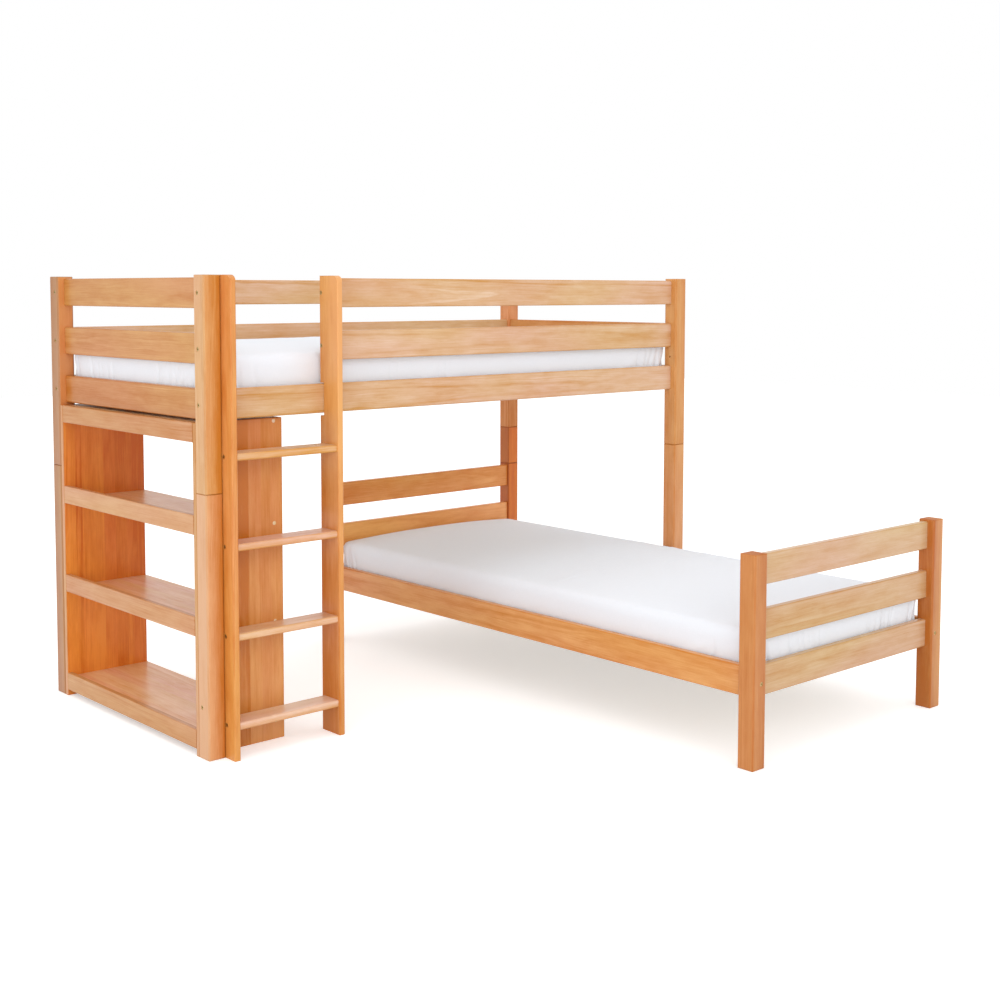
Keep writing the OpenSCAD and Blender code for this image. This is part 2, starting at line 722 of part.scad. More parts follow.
module mattress_core() {
  t = sheet_t + 0.4;
  pts = concat(shell_pts(t), [centre_pt(mattress_h - t), centre_pt(t)]);
  n = rings_n * ring_n;
  polyhedron(pts, concat(side_faces(0, false), cap_faces(n - ring_n, n, false),
    cap_faces(0, n + 1, true)), convexity = 4);
}
module sheet_shell() {
  n = rings_n * ring_n;
  pts = concat(shell_pts(0), [centre_pt(mattress_h)],
    shell_pts(sheet_t), [centre_pt(mattress_h - sheet_t)]);
  hem = [for (j = [0 : ring_n - 1]) let (a = j, b = (j + 1) % ring_n, c = n + 1 + a, d = n + 1 + b)
    each [[a, b, d], [a, d, c]]];
  polyhedron(pts, concat(side_faces(0, false), cap_faces(n - ring_n, n, false),
    side_faces(n + 1, true), cap_faces(2 * n + 1 - ring_n, 2 * n + 1, true), hem), convexity = 6);
}
module upper_soft() {
  translate([(bed_len - mattress_len) / 2, up_soft_y, up_slat_z + slat_t + soft_gap]) children();
}
module lower_soft() {
  translate([low_soft_x, bed_w - (bed_len - mattress_len) / 2, low_slat_z + slat_t + soft_gap])
    rotate([0, 0, -90]) children();
}
module upper_mattress() { color(white) place() upper_soft() mattress_core(); }
module upper_fitted_sheet() { color(white) place() upper_soft() sheet_shell(); }
module lower_mattress() { color(white) place() lower_soft() mattress_core(); }
module lower_fitted_sheet() { color(white) place() lower_soft() sheet_shell(); }

// ---------- bookcase ----------

case_x = case_set;
board_x = case_x + lip_t;
board_d = case_d - lip_t;
inner_y = case_y1 + board_t;
screw_in = 30;
board_zs = [case_h - board_t, shelf_high_z, shelf_low_z, shelf_foot_z];
lip_zs = [lip_top_z, shelf_high_z, shelf_low_z, lip_foot_z];

module case_screws_at(z, r, head, len) {
  for (x = [case_x + screw_in, case_x + case_d - screw_in]) {
    rod_y(case_y1 + 2, case_y1 + len, x, z + board_t / 2, r);
    rod_y(case_y1 - (head > cap_r ? 1 : 0), case_y1 + 2, x, z + board_t / 2, head);
    rod_y(case_y2 - len, case_y2 - 2, x, z + board_t / 2, r);
    rod_y(case_y2 - 2, case_y2 + (head > cap_r ? 1 : 0), x, z + board_t / 2, head);
  }
}
module case_screw_holes_at(z) {
  case_screws_at(z, screw_r + hole_play / 4, cap_r + hole_play / 4, screw_len + hole_play);
}
module case_holes() {
  for (z = board_zs) case_screw_holes_at(z);
}
module case_side_at(y) {
  difference() {
    translate([case_x, y, 0]) linear_extrude(case_h) round_rect(case_d, board_t, case_round);
    case_holes();
  }
}
module case_board_at(z) {
  difference() {
    translate([board_x, inner_y, z]) cube([board_d, case_in, board_t]);
    case_screw_holes_at(z);
  }
}
module bookcase_side_front() { color(wood_dark) place() case_side_at(case_y1); }
module bookcase_side_back() { color(wood_dark) place() case_side_at(case_y2 - board_t); }
module bookcase_top() { color(wood) place() case_board_at(board_zs[0]); }
module bookcase_shelf_upper() { color(wood) place() case_board_at(board_zs[1]); }
module bookcase_shelf_lower() { color(wood) place() case_board_at(board_zs[2]); }
module bookcase_shelf_bottom() { color(wood) place() case_board_at(board_zs[3]); }
module bookcase_lips() {
  color(wood_pale) place() for (z = lip_zs)
    translate([case_x, inner_y + case_in, z]) rotate([90, 0, 0])
      linear_extrude(case_in) round_rect(lip_t, lip_h, case_round);
}
module bookcase_screws() {
  color(wood_pale) place() for (z = board_zs) case_screws_at(z, screw_r, cap_r, screw_len);
}

post_front_left_leg();
post_front_left_upper();
post_back_left_leg();
post_back_left_upper();
post_front_right_leg();
post_front_right_upper();
post_back_right_spacer();
post_back_right_upper();
lower_head_post_right();
lower_head_post_left();
lower_foot_post_left();
lower_foot_post_right();
post_pins();
left_end_rail_top();
left_end_rail_middle();
left_end_rail_bottom();
right_end_rail_top();
right_end_rail_middle();
right_end_rail_bottom();
back_rail_top();
back_rail_middle();
back_rail_bottom();
guard_rail_top();
guard_rail_middle();
front_side_rail();
ladder_stile_left();
ladder_stile_right();
ladder_rung_1();
ladder_rung_2();
ladder_rung_3();
ladder_rung_4();
ladder_bolts();
lower_side_rail_left();
lower_side_rail_right();
lower_head_rail_top();
lower_head_rail_middle();
lower_head_rail_bottom();
lower_foot_rail_top();
lower_foot_rail_middle();
lower_foot_rail_bottom();
slat_ledges();
bed_bolts();
barrel_nuts();
wood_dowels();
upper_slats();
upper_slat_tapes();
lower_slats();
lower_slat_tapes();
upper_mattress();
upper_fitted_sheet();
lower_mattress();
lower_fitted_sheet();
bookcase_side_front();
bookcase_side_back();
bookcase_top();
bookcase_shelf_upper();
bookcase_shelf_lower();
bookcase_shelf_bottom();
bookcase_lips();
bookcase_screws();
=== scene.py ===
import math
import random

import bmesh
import bpy
from mathutils import Matrix, Vector, noise


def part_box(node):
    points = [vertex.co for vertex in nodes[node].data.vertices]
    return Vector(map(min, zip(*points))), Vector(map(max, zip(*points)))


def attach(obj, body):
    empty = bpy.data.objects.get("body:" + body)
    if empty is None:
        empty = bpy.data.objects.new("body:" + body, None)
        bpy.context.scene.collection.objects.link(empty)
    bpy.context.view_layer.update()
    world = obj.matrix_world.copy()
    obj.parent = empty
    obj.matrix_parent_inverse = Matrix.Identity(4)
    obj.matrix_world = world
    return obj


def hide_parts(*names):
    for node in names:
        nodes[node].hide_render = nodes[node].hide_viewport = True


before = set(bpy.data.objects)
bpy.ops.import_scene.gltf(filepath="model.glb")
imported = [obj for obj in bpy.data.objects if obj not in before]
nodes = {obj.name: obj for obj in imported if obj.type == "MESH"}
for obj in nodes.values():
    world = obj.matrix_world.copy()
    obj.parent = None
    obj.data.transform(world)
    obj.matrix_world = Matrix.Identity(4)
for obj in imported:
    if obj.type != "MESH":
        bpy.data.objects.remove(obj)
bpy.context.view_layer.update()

print("frame loaded:", len(nodes), "pieces")


# the camera was found from the posts and rails: metres, degrees, millimetres for lens and sensor
cameraValues = {
    "place": (-3.1698, -3.5227, 1.3731),
    "yaw": 41.8149,
    "pitch": -4.0121,
    "roll": 0.0571,
    "lens": 51.44,
    "sensor": 36,
    "shift": (0.01276, -0.10954),
    "farthest": 60,
}


def placeCamera(values):
    yaw, pitch, roll = (math.radians(values[key]) for key in ("yaw", "pitch", "roll"))
    ahead = Vector((math.sin(yaw) * math.cos(pitch), math.cos(yaw) * math.cos(pitch), math.sin(pitch)))
    side = Vector((math.cos(yaw), -math.sin(yaw), 0))
    up = side.cross(ahead)
    right = side * math.cos(roll) + up * math.sin(roll)
    top = up * math.cos(roll) - side * math.sin(roll)
    data = bpy.data.cameras.new("bedCamera")
    data.lens = values["lens"]
    data.sensor_width = values["sensor"]
    data.shift_x, data.shift_y = values["shift"]
    data.clip_end = values["farthest"]
    camera = bpy.data.objects.new("bedCamera", data)
    turn = Matrix((right, top, -ahead)).transposed().to_4x4()
    camera.matrix_world = Matrix.Translation(values["place"]) @ turn
    bpy.context.scene.collection.objects.link(camera)
    bpy.context.scene.camera = camera


placeCamera(cameraValues)
print("camera placed")


# three 0-255 screen values as the linear colour that a socket takes
def linear(red, green, blue):
    return tuple((c / 255 / 12.92 if c / 255 <= 0.04045 else ((c / 255 + 0.055) / 1.055) ** 2.4)
                 for c in (red, green, blue)) + (1,)


def addNode(tree, kind, links=None, inputs=None, **settings):
    node = tree.nodes.new(kind)
    for name, value in settings.items():
        setattr(node, name, value)
    for name, value in (inputs or {}).items():
        node.inputs[name].default_value = value
    for name, socket in (links or {}).items():
        tree.links.new(socket, node.inputs[name])
    return node


# gives an input another node's output, or a constant
def feed(tree, socket, value):
    if hasattr(value, "is_linked"):
        tree.links.new(value, socket)
    else:
        socket.default_value = value


def addMath(tree, operation, first, second=None, third=None, clamp=False):
    node = addNode(tree, "ShaderNodeMath", operation=operation, use_clamp=clamp)
    for index, value in enumerate((first, second, third)):
        if value is not None:
            feed(tree, node.inputs[index], value)
    return node.outputs[0]


# a colour mix has its two colours at inputs 6 and 7, and its result at output 2
def mixColours(tree, factor, first, second, blend="MIX"):
    node = addNode(tree, "ShaderNodeMix", {"Factor": factor}, data_type="RGBA", blend_type=blend)
    feed(tree, node.inputs[6], first)
    feed(tree, node.inputs[7], second)
    return node.outputs[2]


def newGroup(name, inputs, outputs):
    group = bpy.data.node_groups.new(name, "ShaderNodeTree")
    for label, kind, value in inputs:
        socket = group.interface.new_socket(label, in_out="INPUT", socket_type="NodeSocket" + kind)
        if value is not None:
            socket.default_value = value
    for label, kind in outputs:
        group.interface.new_socket(label, in_out="OUTPUT", socket_type="NodeSocket" + kind)
    return group, group.nodes.new("NodeGroupInput"), group.nodes.new("NodeGroupOutput")


def addVector(tree, operation, first, second=None, output="Vector"):
    links = {0: first} if second is None else {0: first, 1: second}
    return addNode(tree, "ShaderNodeVectorMath", links, operation=operation).outputs[output]


def addRange(tree, value, low, high, toLow=0.0, toHigh=1.0):
    ends = {"From Min": low, "From Max": high, "To Min": toLow, "To Max": toHigh}
    return addNode(tree, "ShaderNodeMapRange", {"Value": value}, ends).outputs["Result"]


def splitVector(tree, vector):
    return addNode(tree, "ShaderNodeSeparateXYZ", {0: vector}).outputs


def noiseAt(tree, vector, scale, detail=2.0, roughness=0.5):
    spread = addNode(tree, "ShaderNodeVectorMath", {0: vector}, {1: scale}, operation="MULTIPLY")
    return addNode(tree, "ShaderNodeTexNoise", {"Vector": spread.outputs[0]},
                   {"Scale": 1.0, "Detail": detail, "Roughness": roughness}).outputs["Fac"]


def addBump(tree, shader, height, strength, distance):
    bump = addNode(tree, "ShaderNodeBump", {"Height": height}, {"Strength": strength, "Distance": distance})
    tree.links.new(bump.outputs[0], shader.inputs["Normal"])


# how the beech's pattern is drawn. Noise scales run along, across and through the board, in turns per metre.
# A spread is the part of the noise that is used, and the amounts that its two ends are given
beechValues = {
    "seedShift": 1.7,
    "warp": (1.3, 7.0, 7.0), "ripple": (9.0, 30.0, 30.0), "rippleDepth": 0.005, "growth": 0.008,
    "ringDetail": 4.0, "ringRoughness": 0.68, "ringSpread": (0.28, 0.72),
    # how strongly the rings show changes from place to place
    "shows": (2.6, 11.0, 11.0), "showsSpread": (0.38, 0.62, 0.1, 1.3),
    "streaks": (9.0, 300.0, 300.0), "streakSpread": (0.34, 0.68),
    "mottle": (7.0, 26.0, 26.0), "mottleGain": 4.4,
    "flecks": (150.0, 1400.0, 1400.0), "fleckSpread": (0.62, 0.72), "fleckDepth": 0.14,
    # two distances from the edge in metres, and the amount at each
    "endGrainAndSeamShade": (0.0006, 0.0026, 0.4, 0.0), "arris": (0.0008, 0.005, 0.3, 0.0),
    "drift": (1.4, 6.0, 6.0), "driftSpread": (0.36, 0.64),
    "cool": (1.0, 0.955, 1.05, 1), "warm": (1.0, 1.045, 0.93, 1),
    "streakSheen": 0.06, "mottleSheen": 0.1, "poreDepth": -0.5,
}


# sawn and lacquered beech: x runs along the grain, y across the wide face, z through the board
def makeBoardGroup(values):
    group, given, result = newGroup(
        "beechBoard",
        [("Vector", "Vector", None), ("Place", "Vector", None),
         ("Half Size", "Vector", (1.0, 0.045, 0.012)), ("Shade Lean", "Vector", (0.0, 0.0, 0.0)),
         ("Shift", "Float", 0.0), ("Seed", "Float", 0.0), ("Pith Y", "Float", 0.0), ("Pith Z", "Float", 0.06),
         ("Light", "Color", (0.8, 0.5, 0.25, 1)), ("Dark", "Color", (0.5, 0.25, 0.1, 1)),
         ("Ring Scale", "Float", 95.0), ("Ring Warp", "Float", 0.03), ("Rings", "Float", 0.3),
         ("Streaks", "Float", 0.2), ("Mottle", "Float", 0.25), ("Gloss", "Float", 0.3)],
        [("Color", "Color"), ("Roughness", "Float"), ("Height", "Float")])
    inputs = given.outputs
    start = addMath(group, "MULTIPLY", inputs["Seed"], values["seedShift"])
    shift = addNode(group, "ShaderNodeCombineXYZ", {"X": start, "Y": inputs["Pith Y"], "Z": inputs["Pith Z"]})
    vector = addVector(group, "ADD", inputs["Vector"], shift.outputs[0])
    axes = splitVector(group, vector)
    # growth rings: the distance from the pith, wandering along the board
    warp = noiseAt(group, vector, values["warp"])
    ripple = noiseAt(group, vector, values["ripple"], 1.0)
    flat = addNode(group, "ShaderNodeCombineXYZ", {"Y": axes["Y"], "Z": axes["Z"]})
    radius = addVector(group, "LENGTH", flat.outputs[0], output="Value")
    radius = addMath(group, "MULTIPLY_ADD", warp, inputs["Ring Warp"], radius)
    radius = addMath(group, "MULTIPLY_ADD", ripple, values["rippleDepth"], radius)
    radius = addMath(group, "MULTIPLY_ADD", axes["X"], values["growth"], radius)
    turns = addMath(group, "MULTIPLY", radius, inputs["Ring Scale"])
    ringNoise = {"Scale": 1.0, "Detail": values["ringDetail"], "Roughness": values["ringRoughness"]}
    rings = addNode(group, "ShaderNodeTexNoise", {"W": turns}, ringNoise, noise_dimensions="1D")
    rings = addRange(group, rings.outputs["Fac"], *values["ringSpread"])
    shows = addRange(group, noiseAt(group, vector, values["shows"], 1.0), *values["showsSpread"])
    rings = addMath(group, "MULTIPLY", addMath(group, "SUBTRACT", rings, 0.5), shows)
    streaks = addRange(group, noiseAt(group, vector, values["streaks"], 4.0, 0.65), *values["streakSpread"])
    mottle = addMath(group, "SUBTRACT", noiseAt(group, vector, values["mottle"], 4.0, 0.62), 0.5)
    flecks = addRange(group, noiseAt(group, vector, values["flecks"], 1.0), *values["fleckSpread"])
    # painted light and shade: a slow lean of the tone through the board, lighter where light falls and deeper
    # in shade
    near = addVector(group, "DIVIDE", inputs["Place"], inputs["Half Size"])
    shadeLean = addVector(group, "DOT_PRODUCT", near, inputs["Shade Lean"], output="Value")
    # sawn ends are darker: end grain takes more finish, and painted shade stands for the seams between post
    # parts; the arrises are darker too
    away = addVector(group, "SUBTRACT", inputs["Half Size"], addVector(group, "ABSOLUTE", inputs["Place"]))
    away = splitVector(group, away)
    endGrainAndSeamShade = addRange(group, away["X"], *values["endGrainAndSeamShade"])
    arris = addRange(group, addMath(group, "MAXIMUM", away["Y"], away["Z"]), *values["arris"])
    amount = addMath(group, "MULTIPLY_ADD", rings, inputs["Rings"], 0.5)
    evenStreaks = addMath(group, "SUBTRACT", streaks, 0.5)
    amount = addMath(group, "MULTIPLY_ADD", evenStreaks, inputs["Streaks"], amount)
    spots = addMath(group, "MULTIPLY", mottle, inputs["Mottle"])
    amount = addMath(group, "MULTIPLY_ADD", spots, values["mottleGain"], amount)
    amount = addMath(group, "MULTIPLY_ADD", flecks, values["fleckDepth"], amount)
    amount = addMath(group, "ADD", amount, addMath(group, "ADD", shadeLean, inputs["Shift"]))
    amount = addMath(group, "ADD", amount, addMath(group, "ADD", endGrainAndSeamShade, arris), clamp=True)
    colour = mixColours(group, amount, inputs["Light"], inputs["Dark"])
    drift = addRange(group, noiseAt(group, vector, values["drift"], 1.0), *values["driftSpread"])
    hue = mixColours(group, drift, values["cool"], values["warm"])
    group.links.new(addVector(group, "MULTIPLY", colour, hue), result.inputs["Color"])
    sheen = addMath(group, "MULTIPLY_ADD", streaks, values["streakSheen"], inputs["Gloss"])
    sheen = addMath(group, "MULTIPLY_ADD", mottle, values["mottleSheen"], sheen)
    group.links.new(addMath(group, "ADD", sheen, endGrainAndSeamShade, clamp=True), result.inputs["Roughness"])
    height = addMath(group, "MULTIPLY_ADD", streaks, values["poreDepth"], 1.0)
    height = addMath(group, "MULTIPLY_ADD", flecks, values["poreDepth"], height)
    group.links.new(height, result.inputs["Height"])
    return group


# lengths in metres; sway is how the staves' widths vary, in radians per stave
staveValues = {
    "sway": 2.1,
    "jumpAcross": 0.05, "jumpThrough": 0.04,   # how far the grain jumps from stave to stave
    "seedStep": 17.0,
    "jointWidth": 0.0009,                      # half of a glue line
}


# a glued-up panel, or a row of slats, as strips across y, each from another piece of wood
def makeStaveGroup(values):
    group, given, result = newGroup(
        "gluedStaves",
        [("Vector", "Vector", None), ("Width", "Float", 0.045),
         ("Uneven", "Float", 0.0), ("Seed", "Float", 0.0)],
        [("Vector", "Vector"), ("Seed", "Float"), ("Tint", "Float"), ("Joint", "Float")])
    axes = splitVector(group, given.outputs["Vector"])
    across = addMath(group, "DIVIDE", axes["Y"], given.outputs["Width"])
    sway = addMath(group, "SINE", addMath(group, "MULTIPLY", across, values["sway"]))
    across = addMath(group, "MULTIPLY_ADD", sway, given.outputs["Uneven"], across)
    index = addMath(group, "FLOOR", across)
    part = addMath(group, "SUBTRACT", across, index)
    pick = addNode(group, "ShaderNodeTexWhiteNoise",
                   {"W": addMath(group, "ADD", index, given.outputs["Seed"])}, noise_dimensions="1D")
    jumps = addNode(group, "ShaderNodeSeparateColor", {0: pick.outputs["Color"]}).outputs
    y = addMath(group, "MULTIPLY", addMath(group, "SUBTRACT", part, 0.5), given.outputs["Width"])
    y = addMath(group, "MULTIPLY_ADD", addMath(group, "SUBTRACT", jumps["Red"], 0.5), values["jumpAcross"], y)
    z = addMath(group, "MULTIPLY_ADD", jumps["Green"], values["jumpThrough"], axes["Z"])
    moved = addNode(group, "ShaderNodeCombineXYZ", {"X": axes["X"], "Y": y, "Z": z})
    group.links.new(moved.outputs[0], result.inputs["Vector"])
    seed = addMath(group, "MULTIPLY", pick.outputs["Value"], values["seedStep"])
    group.links.new(seed, result.inputs["Seed"])
    group.links.new(jumps["Blue"], result.inputs["Tint"])
    edge = addMath(group, "MINIMUM", part, addMath(group, "SUBTRACT", 1.0, part))
    edge = addMath(group, "MULTIPLY", edge, given.outputs["Width"])
    joint = addMath(group, "SUBTRACT", 1.0, addMath(group, "DIVIDE", edge, values["jointWidth"]), clamp=True)
    group.links.new(joint, result.inputs["Joint"])
    return group


weaveValues = {"slubLong": 45.0, "slubShort": 900.0}      # noise turns per metre along a thread and across it


# plain weave on a flat cloth layout in metres: threads over and under, with slubs
def makeWeaveGroup(values):
    group, given, result = newGroup(
        "plainWeave",
        [("Vector", "Vector", None), ("Threads", "Float", 1600.0), ("Slubs", "Float", 0.3)],
        [("Shade", "Float"), ("Height", "Float")])
    axes = splitVector(group, given.outputs["Vector"])
    warp = addMath(group, "SINE", addMath(group, "MULTIPLY", axes["X"], given.outputs["Threads"]))
    weft = addMath(group, "SINE", addMath(group, "MULTIPLY", axes["Y"], given.outputs["Threads"]))
    over = addMath(group, "MULTIPLY_ADD", addMath(group, "MULTIPLY", warp, weft), 0.5, 0.5)
    slubs = noiseAt(group, given.outputs["Vector"], (values["slubLong"], values["slubShort"], 1.0))
    cross = noiseAt(group, given.outputs["Vector"], (values["slubShort"], values["slubLong"], 1.0))
    uneven = addMath(group, "MULTIPLY", addMath(group, "ADD", slubs, cross), 0.5)
    height = addMath(group, "MULTIPLY_ADD", uneven, given.outputs["Slubs"], over)
    group.links.new(height, result.inputs["Height"])
    group.links.new(uneven, result.inputs["Shade"])
    return group


boardGroup = makeBoardGroup(beechValues)
staveGroup = makeStaveGroup(staveValues)
weaveGroup = makeWeaveGroup(weaveValues)
axisVectors = {"x": Vector((1, 0, 0)), "y": Vector((0, 1, 0)), "z": Vector((0, 0, 1))}

# middle colour of each batch of wood, as the screen shows it, how far its rings and streaks go,
# and a tint for the face on the low side: painted light and shade on that one face
woodTones = {
    "honey": {"middle": (203, 147, 90), "rings": 0.51, "streaks": 0.30, "mottle": 0.24,
              "front": (1.1, 0.98, 0.82)},
    "copper": {"middle": (213, 137, 65), "rings": 0.51, "streaks": 0.30, "mottle": 0.24},
    "sienna": {"middle": (216, 146, 73), "rings": 0.51, "streaks": 0.30, "mottle": 0.24},
    "brown": {"middle": (168, 111, 63), "rings": 0.51, "streaks": 0.30, "mottle": 0.24,
              "front": (1.5, 1.24, 0.92)},
    "caramel": {"middle": (198, 136, 74), "rings": 0.57, "streaks": 0.30, "mottle": 0.24},
    "tan": {"middle": (210, 144, 84), "rings": 0.51, "streaks": 0.30, "mottle": 0.24},
    "fawn": {"middle": (199, 140, 87), "rings": 0.51, "streaks": 0.30, "mottle": 0.24},
    "toffee": {"middle": (218, 148, 83), "rings": 0.45, "streaks": 0.30, "mottle": 0.26},
    "fox": {"middle": (193, 121, 57), "rings": 0.51, "streaks": 0.30, "mottle": 0.24},
    "amber": {"middle": (214, 138, 77), "rings": 0.51, "streaks": 0.33, "mottle": 0.24},
    "rust": {"middle": (179, 90, 10), "rings": 0.51, "streaks": 0.33, "mottle": 0.24,
             "front": (1.45, 1.43, 1.6)},
    # painted light: gold is set lighter than the wood, for the shade under the upper bed
    "gold": {"middle": (230, 155, 81), "rings": 0.51, "streaks": 0.33, "mottle": 0.24},
    "rose": {"middle": (226, 179, 139), "rings": 0.45, "streaks": 0.27, "mottle": 0.2},
    "blush": {"middle": (213, 168, 126), "rings": 0.54, "streaks": 0.27, "mottle": 0.22},
    "cream": {"middle": (203, 161, 115), "rings": 0.45, "streaks": 0.27, "mottle": 0.2},
    "shelf": {"middle": (237, 186, 140), "rings": 0.45, "streaks": 0.30, "mottle": 0.24},
    # painted light: russet is set lighter than the wood, for the shade inside the bookcase
    "russet": {"middle": (225, 128, 43), "rings": 0.57, "streaks": 0.36, "mottle": 0.34,
               "front": (0.76, 1.17, 3.7)},
    "panel": {"middle": (213, 138, 72), "rings": 0.45, "streaks": 0.30, "mottle": 0.24,
              "front": (0.9, 1.2, 1.9)},
    "birch": {"middle": (224, 196, 156), "rings": 0.45, "streaks": 0.30, "mottle": 0.2},
    "plug": {"middle": (236, 214, 186), "rings": 0.3, "streaks": 0.27, "mottle": 0.2},
}


def grainTurn(along, across):
    first, second = axisVectors[along], axisVectors[across]
    return Matrix((first, second, first.cross(second)))


def newMaterial(name):
    material = bpy.data.materials.new(name)
    material.use_nodes = True
    tree = material.node_tree
    tree.nodes.clear()
    shader = tree.nodes.new("ShaderNodeBsdfPrincipled")
    output = tree.nodes.new("ShaderNodeOutputMaterial")
    tree.links.new(shader.outputs[0], output.inputs["Surface"])
    return material, tree, shader


# the clear finish, and the chances that every board has in common
lacquerValues = {
    "light": (1.1, 1.3, 1.75, 1),      # sapwood against the middle colour
    "dark": (0.82, 0.62, 0.25, 1),     # heartwood
    # how far the pith lies from the board's centre in metres, across it and through it
    "pithBoard": 0.02, "pithSquare": (0.05, 0.08), "pithDepth": (0.04, 0.07),
    "seeds": 20, "bandSeeds": 97.0,    # how far patterns are moved along, board by board and band by band
    "front": 0.005,                    # the face on the low side, as a share of the board's width, where painted light and shade go
    "specular": 0.35, "coat": 0.12, "coatRoughness": 0.2,
    "bump": (0.25, 0.0002),
}


# one board's lacquered wood, its pattern centred on the board and turned to its grain
def woodMaterial(name, tone, along, across, box, seed, square=False, staves=None, shadeLean=(0, 0, 0), shift=0.0):
    values = woodTones[tone]
    chance = random.Random(seed)
    material, tree, shader = newMaterial(name)
    turn = grainTurn(along, across)
    low, high = box
    halfSize = turn @ ((high - low) / 2)
    place = addNode(tree, "ShaderNodeTexCoord")
    mapping = addNode(tree, "ShaderNodeMapping", {"Vector": place.outputs["Object"]})
    mapping.inputs["Rotation"].default_value = turn.to_euler()
    mapping.inputs["Location"].default_value = -(turn @ ((low + high) / 2))
    vector = mapping.outputs[0]
    middle = linear(*values["middle"])
    if square:
        pithY = chance.choice((-1, 1)) * chance.uniform(*lacquerValues["pithSquare"])
    else:
        pithY = chance.uniform(-lacquerValues["pithBoard"], lacquerValues["pithBoard"])
    board = addNode(tree, "ShaderNodeGroup", {"Place": vector}, node_tree=boardGroup)
    settings = {
        "Seed": chance.uniform(-lacquerValues["seeds"], lacquerValues["seeds"]), "Pith Y": pithY,
        "Pith Z": chance.choice((-1, 1)) * chance.uniform(*lacquerValues["pithDepth"]),
        "Half Size": [abs(c) for c in halfSize], "Shade Lean": turn @ Vector(shadeLean), "Shift": shift,
        "Light": [c * k for c, k in zip(middle, lacquerValues["light"])],
        "Dark": [c * k for c, k in zip(middle, lacquerValues["dark"])],
        "Rings": values["rings"], "Streaks": values["streaks"], "Mottle": values["mottle"],
    }
    for label, value in settings.items():
        board.inputs[label].default_value = value
    colour = board.outputs["Color"]

    def acrossShare():      # 0 to 1 across the wide face
        wide = splitVector(tree, mapping.outputs[0])["Y"]
        return addMath(tree, "MULTIPLY_ADD", wide, 0.5 / abs(halfSize.y), 0.5)

    if staves and "bands" in staves:      # staves of given widths, each from its own piece of wood
        bands = addNode(tree, "ShaderNodeValToRGB", {0: acrossShare()})
        stops = bands.color_ramp.elements
        bands.color_ramp.interpolation = "CONSTANT"
        for index, (start, value) in enumerate(staves["bands"]):
            spot = start / (2 * abs(halfSize.y))
            stop = stops[0] if index == 0 else stops.new(spot)
            stop.position = spot
            stop.color = (value + 0.5,) * 3 + (1,)      # raised by a half: a ramp holds nothing below 0
        stops.remove(stops[-1])
        tree.links.new(addMath(tree, "SUBTRACT", bands.outputs[0], 0.5), board.inputs["Shift"])
        bandSeed = addMath(tree, "MULTIPLY", bands.outputs[0], lacquerValues["bandSeeds"])
        tree.links.new(bandSeed, board.inputs["Seed"])
    elif staves:
        split = addNode(tree, "ShaderNodeGroup", {"Vector": vector}, node_tree=staveGroup)
        for label in ("Width", "Uneven", "Seed"):
            split.inputs[label].default_value = staves[label]
        vector = split.outputs["Vector"]
        tree.links.new(split.outputs["Seed"], board.inputs["Seed"])
        tint = addMath(tree, "MULTIPLY_ADD", split.outputs["Tint"], 2 * staves["tint"], -staves["tint"])
        tint = addMath(tree, "MULTIPLY_ADD", split.outputs["Joint"], staves["joint"], tint)
        tree.links.new(tint, board.inputs["Shift"])
    if "front" in values:                 # painted light and shade: this one face is made lighter or darker for how light falls on it
        paintedLightFace = addMath(tree, "LESS_THAN", acrossShare(), lacquerValues["front"])
        colour = mixColours(tree, paintedLightFace, colour, (*values["front"], 1), blend="MULTIPLY")
    tree.links.new(vector, board.inputs["Vector"])
    tree.links.new(colour, shader.inputs["Base Color"])
    tree.links.new(board.outputs["Roughness"], shader.inputs["Roughness"])
    addBump(tree, shader, board.outputs["Height"], *lacquerValues["bump"])
    shader.inputs["Specular IOR Level"].default_value = lacquerValues["specular"]
    shader.inputs["Coat Weight"].default_value = lacquerValues["coat"]
    shader.inputs["Coat Roughness"].default_value = lacquerValues["coatRoughness"]
    return material


def dress(name, material):
    for slot in nodes[name].material_slots:
        slot.material = material


